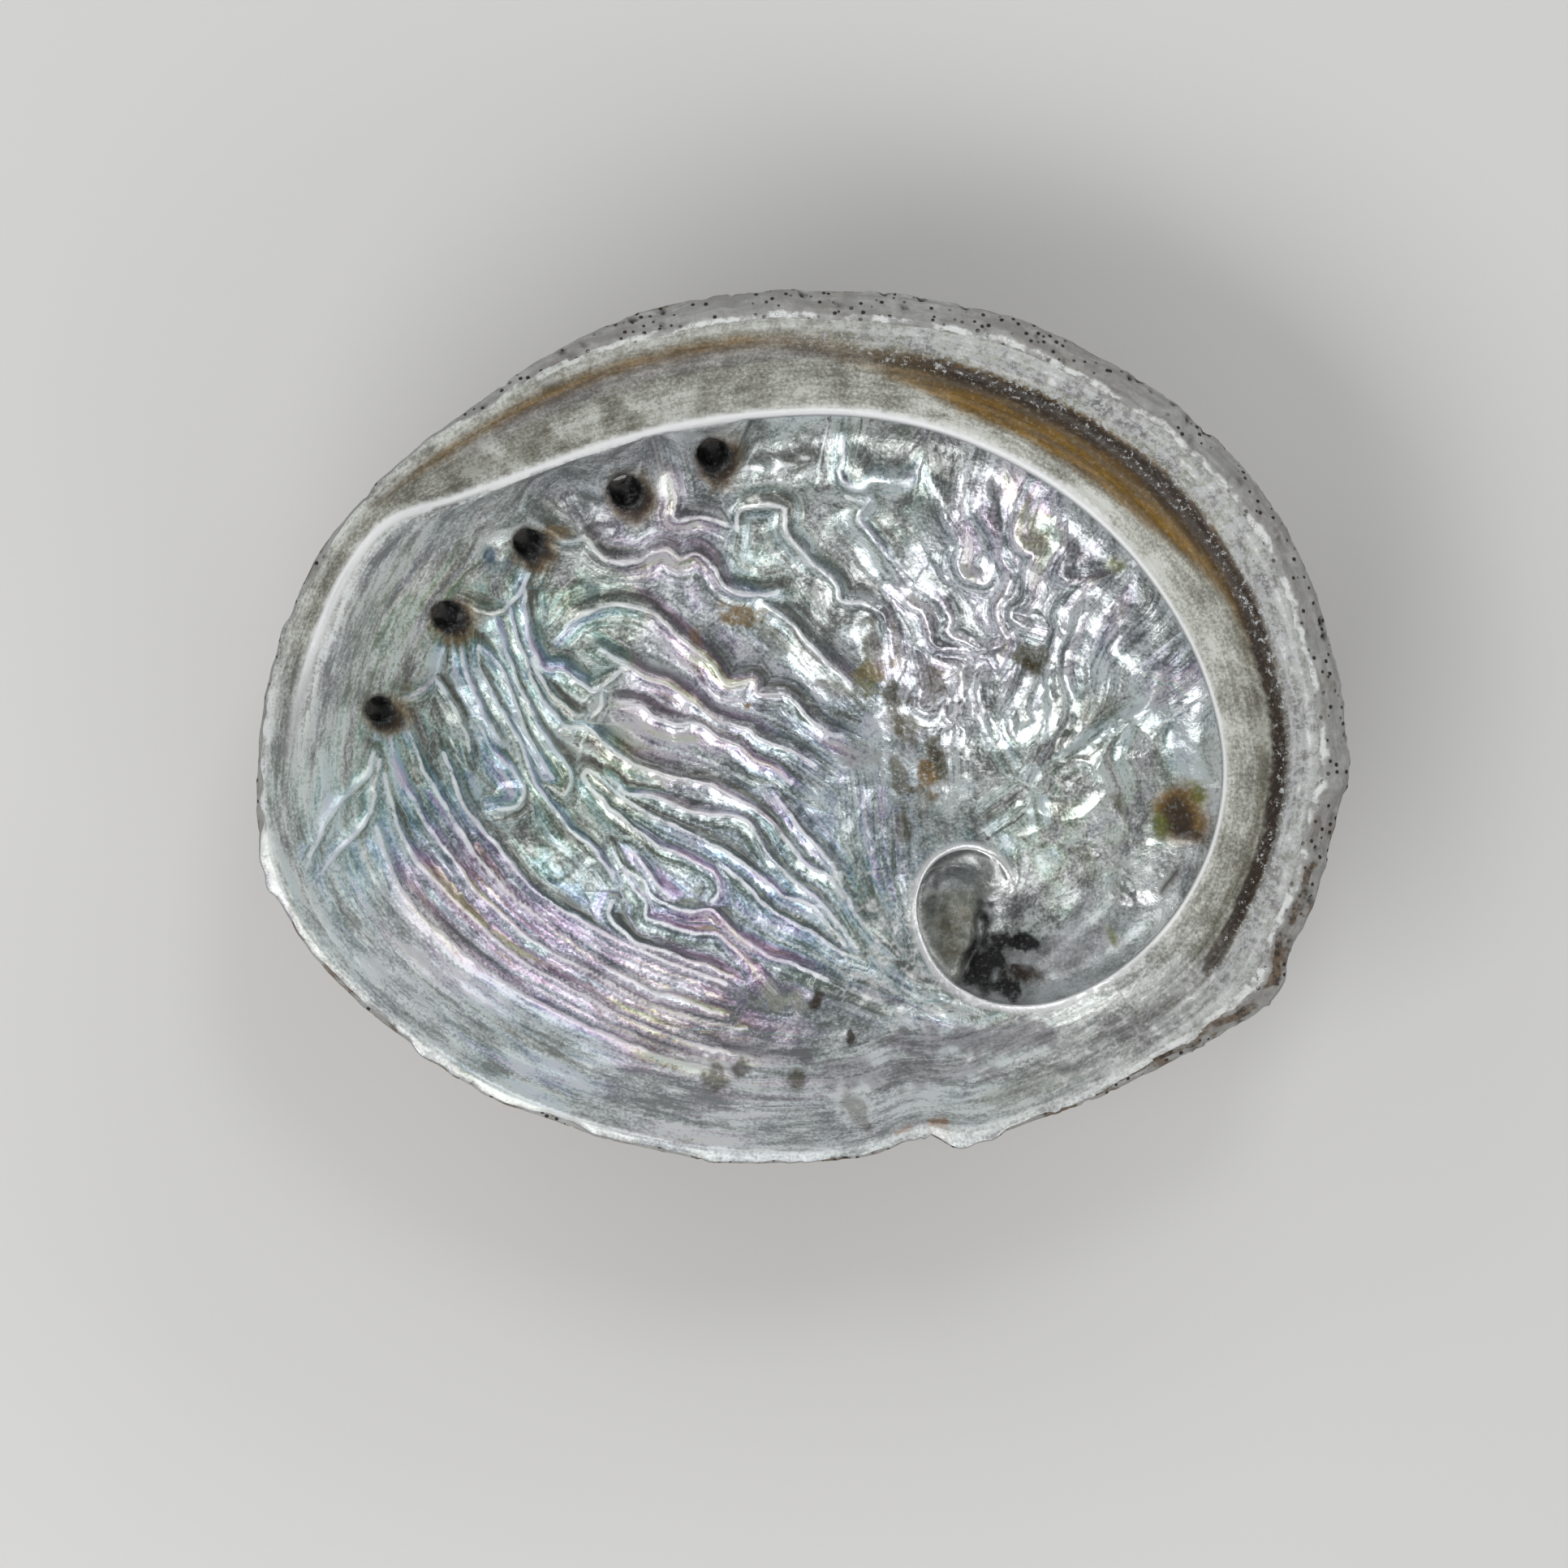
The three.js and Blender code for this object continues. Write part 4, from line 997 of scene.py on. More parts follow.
def paintInside():
    colour = np.full((len(plan), 3), 0.45)
    amount, spotty = np.zeros(len(plan)), np.zeros(len(plan))
    fray = 0.2 * waves(plan, 0.9, 50) + 0.26 * waves(plan, 1.7, 51) + 0.22 * waves(plan, 4.0, 52)

    def lay(name, mask):
        nonlocal colour, amount
        mask = np.clip(mask, 0, 1)
        over = mask / np.maximum(mask + (1 - mask) * amount, 1e-6)
        colour = mix(colour, np.array(marks[name]), over[:, None])
        amount = mask + (1 - mask) * amount

    across, share = facts["across"] + 0.03 * fray, facts["share"]
    speckle = waves(plan, 0.8, 54) * 0.6 + waves(plan, 2.2, 56) * 0.5
    amberAlong = between(share, 0.34, 0.45, 0.6, 0.64)
    lay("olive", 0.4 * shelf * between(share, 0.1, 0.2, 0.3, 0.4) * smooth(waves(plan, 3.2, 53), -0.2, 0.8))
    lay("ochre", 0.85 * shelf * bell(across - 0.84, 0.09) * between(share, 0.14, 0.2, 0.34, 0.42))
    lay("mauve", 0.5 * shelf * bell(across - 0.7, 0.1) * between(share, 0.16, 0.24, 0.36, 0.42))
    inner = mix(0.66, 0.21, smooth(share, 0.35, 0.46))
    inner = mix(inner, 0.46, smooth(share, 0.53, 0.61))
    lay("amber", shelf * amberAlong * between(across, inner, inner + 0.12, 0.76, 0.8))
    browner = smooth(across, mix(inner, 0.64, 0.45), mix(inner, 0.74, 0.8))
    lay("darkBrown", shelf * amberAlong * browner * (1 - smooth(across, 0.74, 0.79)))
    lineAlong = between(share, 0.56, 0.62, 0.76, 0.84)
    lay("olive", 0.5 * shelf * lineAlong * bell(across - 0.48, 0.07))
    lay("darkBrown", shelf * lineAlong * between(across, 0.53, 0.58, 0.72, 0.78))
    outerBand = smooth(across, 0.76, 0.9) * between(share, 0.34, 0.42, 0.84, 0.9)
    lay("violetGrey", 0.75 * shelf * smooth(across, 0.74, 0.8) * lineAlong)
    lay("greyGreen", shelf * outerBand * 0.6)
    lay("mauve", 0.75 * shelf * outerBand * smooth(waves(plan, 2.3, 57), 0.05, 0.5))
    lay("chalk", 0.7 * shelf * outerBand * smooth(waves(plan, 1.5, 58), 0.25, 0.6))
    lacy = isShelf * between(share, 0.735, 0.77, 0.9, 0.97) * (1 - smooth(fromEdge, 11, 16))
    lay("chalk", 0.8 * lacy * smooth(np.abs(waves(plan, 2.0, 55)), 0.28, 0.06))
    lay("violetGrey", 0.5 * isFloor * bell(awayFrom(seen, 37, -31), 8))
    lay("speckle", 0.8 * glint * smooth(speckle, -0.1, 0.5))
    below = inHollow * smooth(-23.2 - seen[:, 1] + 0.8 * fray, -0.5, 0.4)
    plate = smooth(lobeSide, -0.4, 0.3) * lobeRoom * below
    lay("lobe", 0.9 * plate)
    lay("depositAndHoleShade", 0.5 * plate * smooth(speckle, 0.2, 0.9))
    lay("ochre", 0.3 * plate * smooth(-speckle, 0.2, 0.9))
    knob = bell(awayFrom(seen, 25.4, -23.2), 2.4)
    lay("greyGreen", 0.7 * smooth(lobeSide, -0.4, 0.3) * inHollow * knob)
    # Painted shade in the hollow under the overhanging curl.
    lay("shadeUnderArch", 0.9 * inHollow * bell(awayFrom(seen, 23.6, -21.2, 1.7), 1.9))
    # Painted highlight: a white line just inside the overhanging curl, laid in the chalk colour.
    archHighlight = nearestOn(throughPoints(marks["archHighlight"], count=40), seen)
    lay("chalk", bell(archHighlight["distance"], 0.45) * isFloor)
    for name, x, y, halfLength, halfWidth, turn, strength in marks["spots"]:
        raggedness = 0.35 if x > 50 and halfLength < 5 else 1.0
        s = ovalShare(seen, x, y, halfLength, halfWidth, turn) + fray * raggedness
        mask = strength * (1 - smooth(s, 0.6, 1.12))
        lay(name, mask)
        if name in marks["stains"] and x < 50:
            spotty = np.maximum(spotty, mask)
    for x, y, r in holes:  # the halo lies a little to one side
        gap = awayFrom(plan, x + 0.9, y - 0.9) - r
        lay("ochre", 0.75 * (1 - smooth(gap + 1.1 * fray, 0.3, marks["holeHalo"])))
        lay("darkBrown", 0.95 * (1 - smooth(gap + 1.2 * fray, -0.2, 1.3)))
        # Painted shade: black round each hole's rim, so the hole reads dark.
        lay("depositAndHoleShade", 1 - smooth(awayFrom(plan, x, y) - r + 0.4 * fray, 0.1, 0.8))
    return colour, amount, spotty


insideFlow, streakRoom = flowPlace()
insideColour, insideAmount, spotty = paintInside()
alongShelf = between(facts["share"], 0.33, 0.42, 0.84, 0.9) * shelf
speckled = alongShelf * (0.35 * bell(facts["across"] - 0.68, 0.09) + 0.8 * smooth(facts["across"], 0.72, 0.84))
speckled = np.clip(speckled + 0.4 * glint, 0, 1)
thin = smooth(plan[:, 0], 36, 54)
# Painted highlight: a white line along the bead at the shelf's edge.
crestLight = np.minimum(1, 1.7 * bell(fromEdge - mix(0.48, 0.4, thin), mix(0.55, 0.32, thin)))
crestLight *= smooth(facts["rise"], 0.2, 1.2) * (facts["share"] > 0.02) * isShelf
sheen = (1 - 0.85 * shelf) * (1 - 0.5 * inHollow) * (0.5 + 0.5 * smooth(waves(plan, 22, 61), -0.5, 0.7))
sheen *= mix(0.6, 1.1, smooth(-plan[:, 0] - plan[:, 1], -20, 60)) * mix(0.6, 1, smooth(lipGap, 3, 16))
hueSpots = [  # x, y, place in the row of tints
    (-52, -15, 0.97), (-35, -32, 0.96), (-20, -38, 0.02), (-60, -6, 0.5), (-48, 5, 0.66), (-47, -6, 0.62),
    (-38, -12, 0.42), (-30, -24, 0.68), (-15, -28, 0.82), (0, -24, 0.72), (2, -9, 0.86), (-66, 6, 0.36),
    (-60, 14, 0.4), (-68, -12, 0.55), (-20, 28, 0.12), (-4, 26, 0.66), (20, 14, 0.04), (30, 26, 0.14),
    (45, 0, 0.62), (40, -44, 0.72), (-20, 8, 0.1), (-40, -45, 0.66), (-10, -52, 0.02), (-30, 16, 0.6),
    (36, -10, 0.56), (8, 36, 0.64), (50, 12, 0.06),
]
paintedLightShadeSpots = [  # painted light and shade: x, y, reach, how much lighter
    (-46, -22, 10, -0.4), (-30, -33, 11, -0.5), (-12, -40, 10, -0.5), (0, -42, 10, -0.4), (-62, -14, 9, -0.6),
    (-64, 4, 9, -0.5), (48, -4, 11, 0.9), (42, -18, 9, 0.8), (52, -26, 8, 0.5), (-24, 2, 12, 0.8),
    (-42, 2, 10, 0.9), (-12, 34, 10, 0.4), (-52, -38, 8, 0.4),
]
tone = sum(lighter * bell(awayFrom(seen, x, y), reach) for x, y, reach, lighter in paintedLightShadeSpots)
# Painted shadow on the floor just inside the shelf's edge, towards the right.
tone -= bell(fromEdge - 0.9, 0.8) * isFloor * smooth(plan[:, 0], 5, 25)
around = np.arctan2(-1 - plan[:, 1], 1 - plan[:, 0]) * 8
tone += 0.85 * waves(np.column_stack([around, lipGap]), 1.7, 63) * (1 - smooth(lipGap, 14, 22))
tone = np.clip(tone, -1, 1) * (1 - shelf) * (1 - inHollow)
paleShelf = (1 - smooth(facts["across"], 0.08, 0.34)) * smooth(plan[:, 0], 0, 30) * smooth(plan[:, 1], -5, 15)
tone += 0.9 * shelf * paleShelf
turned = np.zeros((len(plan), 2))
for x, y, hue in hueSpots:
    weight = bell(awayFrom(seen, x, y), 11) + 1e-5
    turned += weight[:, None] * [math.cos(2 * math.pi * hue), math.sin(2 * math.pi * hue)]
hueHere = (np.arctan2(turned[:, 1], turned[:, 0]) / (2 * math.pi)) % 1
hueStrength = smooth(np.hypot(turned[:, 0], turned[:, 1]), 0.02, 0.5)
planZero, backZero = np.zeros(len(plan)), np.zeros(len(backPlan))
chalkBack = smooth(waves(backPlan, 26, 62) + 3.2 * (backShare - 0.85), -0.6, 0.7)
insideOnly = {
    "foldRoom": foldRoom, "shelfCover": shelf, "hollowCover": inHollow, "crestLight": crestLight, "tone": tone,
    "sheen": sheen * mix(0.5, 1, hueStrength), "hueHere": hueHere, "paintAmount": insideAmount,
    "speckled": speckled, "spotty": spotty, "streakRoom": np.maximum(streakRoom, shelf),
    "lipLight": 0.35 * (1 - smooth(lipGap, 0.1, 0.9)),
}
backOnly = {
    "crustRoom": smooth(backShare, 0.14, 0.26) * smooth(backAt[:, 2], 0.3, 1.4),
    "chalkCover": chalkBack, "overRim": backZero + 1, "holeMouth": holeMouth,
    "thickRim": backFacts["shelfSide"],
}
skin = {name: overSkin(values, backZero) for name, values in insideOnly.items()}
skin |= {name: overSkin(planZero, values) for name, values in backOnly.items()}
skin["nearLip"] = overSkin(1 - smooth(lipGap, 6, 24), backZero + 1)
overLip = ringLinks[:, 3] == 0
lipSide = backFacts["shelfSide"][(ringLinks[:, 1].astype(int) - len(insideAt)) % len(backPlan)]
ringStart = len(insideAt) + len(backAt)
skin["crustRoom"][ringStart:] *= mix(0.6, 2.0, lipSide) * overLip
skin["lipLight"][ringStart:] = 0
skin["overRim"][ringStart:][~overLip] = 0
ringDirt = mix(0.12, 1, smooth(-(skinVerts[ringStart:, 1] + 8), 0, 14))
skin["dirty"] = np.concatenate([planZero, backZero + 1, ringDirt])
skin["thickRim"][ringStart:] = lipSide
skin["chalkCover"][ringStart:] = np.where(overLip, mix(0.9, 0.8, lipSide), 0)
skin["paintAmount"][ringStart:] = np.where(overLip, skin["paintAmount"][ringStart:] * 0.3, 1)
paint = overSkin(insideColour, np.full((len(backPlan), 3), 0.4))
# Painted shade: the walls inside the holes are painted black.
paint[ringStart:][~overLip] = marks["depositAndHoleShade"]
backFlow = np.column_stack([backFacts["angle"] * 8, backShare * 70, backZero + 90]) / 1000
flow = overSkin(insideFlow, backFlow)
ringGap = np.linalg.norm(insideAt[insideBorder] - backAt[backBorder], axis=1)
stations = np.tile(np.arange(len(insideBorder)), int(overLip.sum()) // len(insideBorder))
overGap = ringLinks[overLip, 2] * ringGap[stations]
flow[ringStart:][overLip] = np.column_stack([stations * 0.08, overGap, np.full(len(stations), 60.0)]) / 1000
print("skin built:", len(skinFaces), "triangles")


def placeOf(tree):
    return addNode(tree, "ShaderNodeTexCoord").outputs["Object"]


def fromMesh(tree, name, output="Fac"):
    return addNode(tree, "ShaderNodeAttribute", attribute_name=name).outputs[output]


def cloudy(tree, place, size, detail=3.0, roughness=0.5, distortion=0.0):
    inputs = {"Vector": place, "Scale": 1000 / size, "Detail": detail, "Roughness": roughness}
    return addNode(tree, "ShaderNodeTexNoise", inputs | {"Distortion": distortion}).outputs[0]


def mixed(tree, amount, a, b):
    return addNode(tree, "ShaderNodeMix", {0: amount, 2: a, 3: b}, data_type="FLOAT").outputs[0]


def blended(tree, amount, a, b, kind="MIX"):
    a, b = ((*c, 1) if isinstance(c, tuple) else c for c in (a, b))
    return addNode(tree, "ShaderNodeMix", {0: amount, 6: a, 7: b}, data_type="RGBA", blend_type=kind).outputs[2]


def coloured(tree, value, stops):
    node = addNode(tree, "ShaderNodeValToRGB", {"Fac": value})
    while len(node.color_ramp.elements) < len(stops):
        node.color_ramp.elements.new(0.5)
    for element, (position, colour) in zip(node.color_ramp.elements, stops):
        element.position, element.color = position, (*colour, 1)
    return node.outputs[0]


def bumped(tree, height, strength, distance, under=None):
    inputs = {"Strength": strength, "Distance": distance, "Height": height}
    if under:
        inputs["Normal"] = under
    return addNode(tree, "ShaderNodeBump", inputs).outputs[0]


def startMaterial(name):
    material = bpy.data.materials.new(name)
    material.use_nodes = True
    return material, material.node_tree, material.node_tree.nodes["Principled BSDF"]


lustre = {
    "cloud": [(0.28, (0.186, 0.197, 0.193)), (0.5, (0.452, 0.475, 0.472)), (0.72, (0.805, 0.84, 0.835))],
    # white of the painted highlights along the crests and the shelf's edge
    "crest": (0.97, 0.97, 0.97),
    # colour of the painted shade behind each crest
    "lee": (0.105, 0.10, 0.09),
    "tints": [
        (0.0, (0.60, 0.44, 0.86)), (0.16, (0.88, 0.50, 0.80)), (0.3, (0.84, 0.70, 0.36)),
        (0.46, (0.46, 0.64, 0.30)), (0.62, (0.38, 0.78, 0.66)), (0.8, (0.38, 0.64, 0.92)),
        (1.0, (0.60, 0.44, 0.86)),
    ],
    "shelf": [(0.3, (0.19, 0.185, 0.155)), (0.5, (0.39, 0.39, 0.335)), (0.7, (0.66, 0.67, 0.61))],
    "hollow": [(0.32, (0.20, 0.20, 0.20)), (0.5, (0.40, 0.41, 0.41)), (0.68, (0.68, 0.72, 0.70))],
    "paintTone": [(0.34, (0.62, 0.62, 0.62)), (0.5, (0.95, 0.95, 0.95)), (0.66, (1.5, 1.5, 1.5))],
    "swings": (1.25, 0.8, 1.0),  # of the lightness, by fine streaks, by broad ones and by the grain
    "lighter": {"slope": 0.04, "tone": 0.14, "nearLip": 0.1},  # what a mark on the mesh adds to it; slope adds a painted highlight on the folds' broad ridges, and the mark after it adds painted light and shade together with random lightness
    "lip": (0.74, 0.76, 0.74),
    "lipWhite": (0.86, 0.87, 0.85),
    "fleck": (0.52, 0.53, 0.53),
    "metallic": 0.6,
    "coat": 0.15,
    "roughness": (0.15, 0.36),  # of bare nacre and of dull places
    "hollowPaintRoughness": 0.17,
    "shelfPaintRoughness": 0.5,
}


def nacreMaterial():
    material, tree, shader = startMaterial("nacre")
    place = placeOf(tree)
    slope, streakRoom = fromMesh(tree, "slope"), fromMesh(tree, "streakRoom")
    shelfCover, hollowCover = fromMesh(tree, "shelfCover"), fromMesh(tree, "hollowCover")
    flowing = fromMesh(tree, "flow", "Vector")
    streak = mixed(tree, streakRoom, cloudy(tree, place, 3.0, 5, 0.65), cloudy(tree, flowing, 0.75, 3, 0.6))
    broadStreak = mixed(tree, streakRoom, cloudy(tree, place, 5.0, 2), cloudy(tree, flowing, 2.4, 2))
    grain = cloudy(tree, place, 0.5, 3, 0.65)
    cloud = cloudy(tree, place, 7, 4, 0.6, 0.4)

    lightness = cloud
    for value, amount in zip((streak, broadStreak, grain), lustre["swings"]):
        lightness = swung(tree, value, amount, lightness)
    for name, amount in lustre["lighter"].items():
        lightness = calc(tree, "MULTIPLY_ADD", fromMesh(tree, name), amount, lightness)
    silver = coloured(tree, lightness, lustre["cloud"])
    silver = blended(tree, times(tree, fromMesh(tree, "nearLip"), 0.15), silver, lustre["lip"])
    # Painted shade behind each crest.
    silver = blended(tree, times(tree, fromMesh(tree, "lee"), 0.85), silver, lustre["lee"])

    facing = addNode(tree, "ShaderNodeNewGeometry").outputs["Normal"]
    lean = vectorCalc(tree, "DOT_PRODUCT", {0: facing, 1: (1.0, 0.8, 0.0)}, "Value")
    hue = swung(tree, broadStreak, 1.5, fromMesh(tree, "hueHere"))
    hue = calc(tree, "MULTIPLY_ADD", slope, 0.25, calc(tree, "MULTIPLY_ADD", lean, 0.2, hue))
    hue = calc(tree, "ADD", hue, 0.85)
    tint = coloured(tree, calc(tree, "FRACT", hue), lustre["tints"])
    tintRoom = stepped(tree, broadStreak, 0.42, 0.6, 0.1, 0.85)
    tintRoom = calc(tree, "MULTIPLY_ADD", stepped(tree, slope, 0.1, 0.7), 0.3, tintRoom)
    tintRoom = times(tree, fromMesh(tree, "sheen"), tintRoom)
    nacre = blended(tree, tintRoom, silver, blended(tree, 1.0, silver, tint, "SOFT_LIGHT"))
    # Painted highlight along each fold's crest, white with a little tint.
    line = blended(tree, times(tree, tintRoom, 0.3), lustre["crest"], tint)
    gaps = stepped(tree, cloudy(tree, place, 1.6, 3, 0.6), 0.32, 0.48, 0.5, 1.0)
    crestHighlight = times(tree, stepped(tree, fromMesh(tree, "crest"), 0.48, 0.86), gaps)
    nacre = blended(tree, crestHighlight, nacre, line)

    shelfTone = swung(tree, grain, 0.9, swung(tree, streak, 0.5, cloud))
    shelfTone = calc(tree, "MULTIPLY_ADD", fromMesh(tree, "tone"), 0.12, shelfTone)
    base = blended(tree, shelfCover, nacre, coloured(tree, shelfTone, lustre["shelf"]))
    hollow = coloured(tree, cloudy(tree, place, 2.2, 5, 0.7), lustre["hollow"])
    base = blended(tree, times(tree, hollowCover, 0.6), base, hollow)
    broken = stepped(tree, cloudy(tree, place, 0.8, 4, 0.65), 0.32, 0.5, 0.8, 1.0)
    spots = stepped(tree, cloudy(tree, place, 0.7, 5, 0.75), 0.36, 0.5, 0.3, 1.0)
    painted = times(tree, fromMesh(tree, "paintAmount"), mixed(tree, fromMesh(tree, "spotty"), broken, spots))
    paintTone = coloured(tree, swung(tree, grain, 0.5, streak), lustre["paintTone"])
    mottle = blended(tree, 1.0, fromMesh(tree, "paint", "Color"), paintTone, "MULTIPLY")
    base = blended(tree, painted, base, mottle)
    fleckRoom = calc(tree, "ADD", times(tree, fromMesh(tree, "speckled"), 0.16), 0.38)
    fleckEnds = [calc(tree, "SUBTRACT", top, fleckRoom) for top in (1.0, 1.04)]
    flecks = stepped(tree, cloudy(tree, place, 0.9, 5, 0.75), *fleckEnds)
    flecks = times(tree, flecks, stepped(tree, fromMesh(tree, "speckled"), 0.05, 0.3, 0.0, 0.9))
    base = blended(tree, flecks, base, lustre["fleck"])
    base = blended(tree, fromMesh(tree, "crestLight"), base, lustre["crest"])
    lipWhite = times(tree, rimBand(tree, place, 0.1, 0.26), mixed(tree, fromMesh(tree, "thickRim"), 0.35, 1.0))
    lipWhite = calc(tree, "MAXIMUM", fromMesh(tree, "lipLight"), lipWhite)
    lipWhite = times(tree, lipWhite, stepped(tree, cloudy(tree, place, 2.4, 4, 0.6), 0.4, 0.56, 0.15, 1.0))
    base = blended(tree, lipWhite, base, lustre["lipWhite"])

    dull = times(tree, shelfCover, 0.8)
    for value, share in ((painted, 0.95), (lipWhite, 1.0), (fromMesh(tree, "nearLip"), 0.55), (crestHighlight, 0.55)):
        dull = calc(tree, "MAXIMUM", dull, times(tree, value, share))
    metallic = stepped(tree, dull, 0.0, 1.0, lustre["metallic"], 0.0)
    shine = stepped(tree, dull, 0.0, 1.0, *lustre["roughness"])
    shine = calc(tree, "MULTIPLY_ADD", grain, 0.16, shine)
    shine = mixed(tree, times(tree, painted, hollowCover), shine, lustre["hollowPaintRoughness"])
    shine = mixed(tree, times(tree, painted, shelfCover), shine, lustre["shelfPaintRoughness"])
    soft = bumped(tree, cloudy(tree, place, 2.6, 2), 0.3, 0.0005)
    soft = bumped(tree, streak, 0.28, 0.00028, soft)
    soft = bumped(tree, grain, 0.4, 0.00014, soft)
    setSockets(shader, {
        "Base Color": base, "Metallic": metallic, "Roughness": shine, "Specular IOR Level": 0.4,
        "Coat Weight": lustre["coat"], "Coat Roughness": 0.14, "Normal": soft,
    })
    return material


def rimBand(tree, place, low, high):
    # A band that runs round the lip, between two shares of the way over it.
    rim = swung(tree, cloudy(tree, place, 1.6, 3, 0.6), 0.16, fromMesh(tree, "overRim"))
    starts = stepped(tree, rim, low - 0.02, low + 0.02)
    return times(tree, starts, stepped(tree, rim, high - 0.03, high + 0.03, 1.0, 0.0))


chalky = {
    "patches": [
        (0.34, (0.16, 0.085, 0.06)), (0.44, (0.24, 0.165, 0.12)), (0.54, (0.33, 0.30, 0.26)),
        (0.68, (0.50, 0.50, 0.47)),
    ],
    "chalk": [(0.3, (0.15, 0.145, 0.135)), (0.48, (0.34, 0.34, 0.325)), (0.68, (0.60, 0.61, 0.59))],
    "dirt": [(0.4, (0.03, 0.022, 0.018)), (0.6, (0.17, 0.12, 0.07))],
    "darkBand": (0.13, 0.125, 0.115),
    "brownBand": (0.10, 0.055, 0.04),
    "rim": (0.46, 0.47, 0.46),
    "rust": (0.14, 0.095, 0.055),
    "holeMouth": (0.05, 0.035, 0.028),
    # colour of the painted shade in the crust's pits
    "pit": (0.03, 0.026, 0.022),
    "lip": (0.88, 0.89, 0.87),
    "roughness": (0.84, 0.35),  # of the crust and of the white lip
}


def crustMaterial():
    material, tree, shader = startMaterial("chalky crust")
    place = placeOf(tree)
    patches = coloured(tree, cloudy(tree, place, 16, 5, 0.6, 0.7), chalky["patches"])
    chalk = coloured(tree, cloudy(tree, place, 2.0, 5, 0.7), chalky["chalk"])
    bands = cloudy(tree, fromMesh(tree, "flow", "Vector"), 1.1, 3, 0.6)
    chalk = blended(tree, stepped(tree, bands, 0.36, 0.6, 0.75, 0.0), chalk, chalky["darkBand"])
    patches = blended(tree, stepped(tree, bands, 0.4, 0.62, 0.5, 0.0), patches, chalky["brownBand"])
    onRim = stepped(tree, fromMesh(tree, "overRim"), 0.8, 1.0, 1.0, 0.0)
    chalk = blended(tree, times(tree, onRim, 0.5), chalk, chalky["rim"])
    rust = stepped(tree, cloudy(tree, place, 5.5, 4, 0.65), 0.52, 0.62, 0.0, 0.85)
    rust = times(tree, rust, mixed(tree, onRim, 1.0, fromMesh(tree, "dirty")))
    chalk = blended(tree, rust, chalk, chalky["rust"])
    base = blended(tree, fromMesh(tree, "chalkCover"), patches, chalk)
    # Painted shade at the holes' mouths.
    base = blended(tree, times(tree, fromMesh(tree, "holeMouth"), 0.8), base, chalky["holeMouth"])
    cells = {"Vector": place, "Scale": 1000 / 1.35, "Randomness": 0.85}
    dots = addNode(tree, "ShaderNodeTexVoronoi", cells).outputs["Distance"]
    dots = stepped(tree, dots, 0.17, 0.27, 1.0, 0.0)
    dots = times(tree, dots, stepped(tree, cloudy(tree, place, 9, 2), 0.42, 0.5))
    # Painted shade darkens the crust's pits and dots.
    dark = calc(tree, "MAXIMUM", times(tree, fromMesh(tree, "pit"), 0.8), dots)
    base = blended(tree, dark, base, chalky["pit"])
    atLip = stepped(tree, fromMesh(tree, "paintAmount"), 0.4, 0.7, 1.0, 0.0)
    dirt = stepped(tree, cloudy(tree, place, 5, 5, 0.7), 0.42, 0.54, 0.15, 0.9)
    dirt = times(tree, rimBand(tree, place, 0.26, 0.44), dirt, atLip, fromMesh(tree, "dirty"))
    base = blended(tree, dirt, base, coloured(tree, cloudy(tree, place, 0.9, 3), chalky["dirt"]))
    white = mixed(tree, fromMesh(tree, "thickRim"), 0.35, 1.0)
    white = times(tree, rimBand(tree, place, 0.1, 0.2), atLip, white)
    white = times(tree, white, stepped(tree, cloudy(tree, place, 4, 4, 0.65), 0.42, 0.56, 0.15, 1.0))
    base = blended(tree, white, base, chalky["lip"])
    height = calc(tree, "MULTIPLY_ADD", dots, -0.8, cloudy(tree, place, 1.4, 5, 0.7))
    setSockets(shader, {
        "Base Color": base, "Roughness": stepped(tree, white, 0.0, 1.0, *chalky["roughness"]),
        "Specular IOR Level": 0.4, "Normal": bumped(tree, height, 0.7, 0.0006),
    })
    return material


def lineObject():
    verts, edges = [], []
    columns = {"tall": [], "wide": [], "dark": [], "white": []}
    rng = np.random.default_rng(nacreFolds["seed"] + 1)
    for line, (height, width) in foldLines():
        n, start = len(line), len(verts)
        fromEnd = np.minimum(np.arange(n), np.arange(n)[::-1]) * 0.4
        knots = 7 + n // 12
        uneven = np.interp(np.arange(n), np.linspace(0, n, knots), rng.uniform(0.75, 1.2, knots))
        flat = toMetres(line)
        flat[:, 2] = 0
        verts += [tuple(v) for v in flat]
        edges += [(start + k, start + k + 1) for k in range(n - 1)]
        rightward = smooth(line[:, 0], 4, 16)
        fine = height == nacreFolds["fineSize"][0]
        calm = fine or height == nacreFolds["streamSize"][0]
        tapered = height * unit * uneven * (0.25 + 0.75 * smooth(fromEnd, 0, 5))
        columns["tall"] += list(tapered * mix(1, 1.25, rightward))
        columns["wide"] += list(width * unit * mix(1, 1.9, rightward))
        # how strong the painted shade behind this crest is
        columns["dark"] += list((0.75 if calm else 1.0) * mix(1.0, 0.3, smooth(line[:, 0], 2, 14)))
        # how strong the painted highlight along this crest is
        columns["white"] += list(mix(1, 0.35, rightward) * np.clip(uneven, 0, 1) * (0.64 if fine else 1.0))
    made = meshPiece("fold lines", verts, [], edges)
    for name, values in columns.items():
        numbersOn(made, name, np.array(values))
    return made


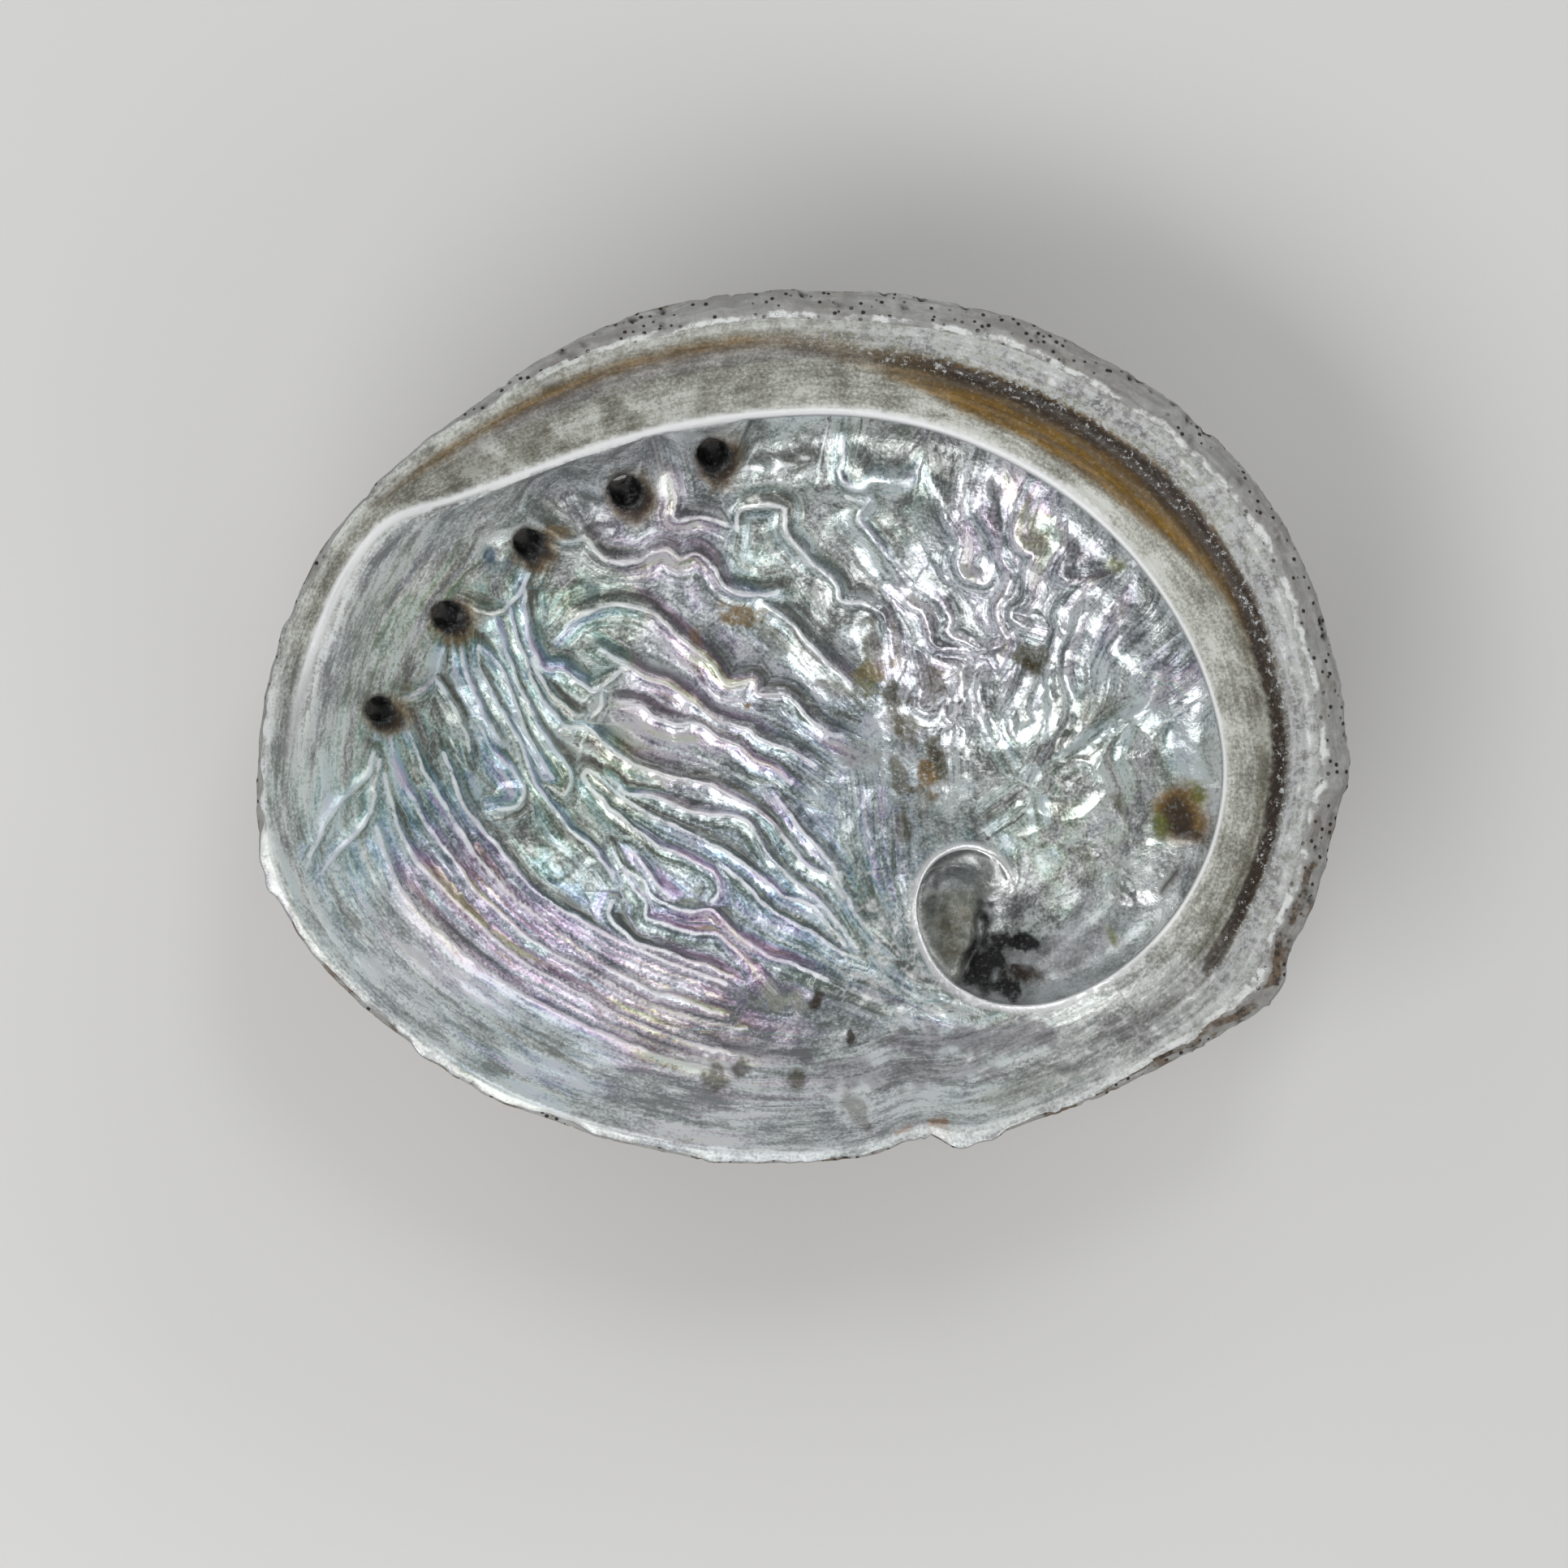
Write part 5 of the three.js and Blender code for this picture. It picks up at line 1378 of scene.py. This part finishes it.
def makeShell():
    a, b, c = (skinVerts[skinFaces[:, k]] for k in range(3))
    volume = np.einsum("ij,ij->i", a, np.cross(b, c)).sum() / 6
    print("skin volume", round(volume / 1000, 1), "cubic centimetres")
    faces = skinFaces if volume > 0 else skinFaces[:, ::-1]
    piece = meshPiece("shellSkin", toMetres(skinVerts), faces)
    for name, values in skin.items():
        numbersOn(piece, name, values)
    numbersOn(piece, "flow", flow)
    numbersOn(piece, "paint", np.column_stack([paint, np.ones(len(paint))]))
    behind = piece.data.attributes.new("backFace", "BOOLEAN", "FACE")
    behind.data.foreach_set("value", skinBack)
    piece.data.polygons.foreach_set("use_smooth", np.ones(len(faces), bool))
    lines = lineObject()
    folds = piece.modifiers.new("folds", "NODES")
    folds.node_group = foldTree()
    sizes = {name: value * unit for name, value in (foldInputs | crust).items()}
    setInputs(folds, {
        "Fold lines": lines, **sizes, "Seed": 4.0, "Nacre": nacreMaterial(), "Crust": crustMaterial(),
    })
    made = frozen(piece, "shell")
    bpy.data.objects.remove(lines)
    return made


shell = makeShell()
print("shell:", len(shell.data.polygons), "faces,", len(shell.data.materials), "materials")


def setStage():
    far = studio["floorReach"]
    floor = meshPiece("floor", [(-far, -far, 0), (far, -far, 0), (far, far, 0), (-far, far, 0)], [range(4)])
    material, _, surface = startMaterial("pale floor")
    setSockets(surface, {"Base Color": (*studio["floor"], 1), "Roughness": 0.9})
    floor.data.materials.append(material)

    world = bpy.data.worlds.new("studio")
    world.use_nodes = True
    sky = {"Color": (*studio["sky"], 1), "Strength": studio["skyStrength"]}
    setSockets(world.node_tree.nodes["Background"], sky)
    bpy.context.scene.world = world
    aim = Vector((0, 0, 0.02))
    for k, (turn, elevation, distance, width, height, brightness) in enumerate(studio["boxes"]):
        light = bpy.data.lights.new(f"softbox{k}", "AREA")
        light.shape, light.size, light.size_y = "RECTANGLE", width, height
        light.energy = brightness * math.pi * width * height
        made = placed(light.name, light)
        a, e = math.radians(turn), math.radians(elevation)
        towards = Vector((math.cos(a) * math.cos(e), math.sin(a) * math.cos(e), math.sin(e)))
        made.location = aim + distance * towards
        made.rotation_euler = (aim - made.location).to_track_quat("-Z", "Y").to_euler()

    camera = bpy.data.cameras.new("camera")
    camera.lens, camera.sensor_width = studio["lens"], studio["sensor"]
    camera.clip_start, camera.clip_end = 0.01, 20
    made = placed("camera", camera)
    above = studio["viewWidth"] * unit * studio["lens"] / studio["sensor"]
    centre = toMetres([(*studio["viewCentre"], studio["rimHeight"])])[0]
    made.location = (centre[0], centre[1], centre[2] + above)
    bpy.context.scene.camera = made
    bpy.context.scene.view_settings.view_transform = "Standard"


setStage()
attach(shell, "root")
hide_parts("abalone_shell")
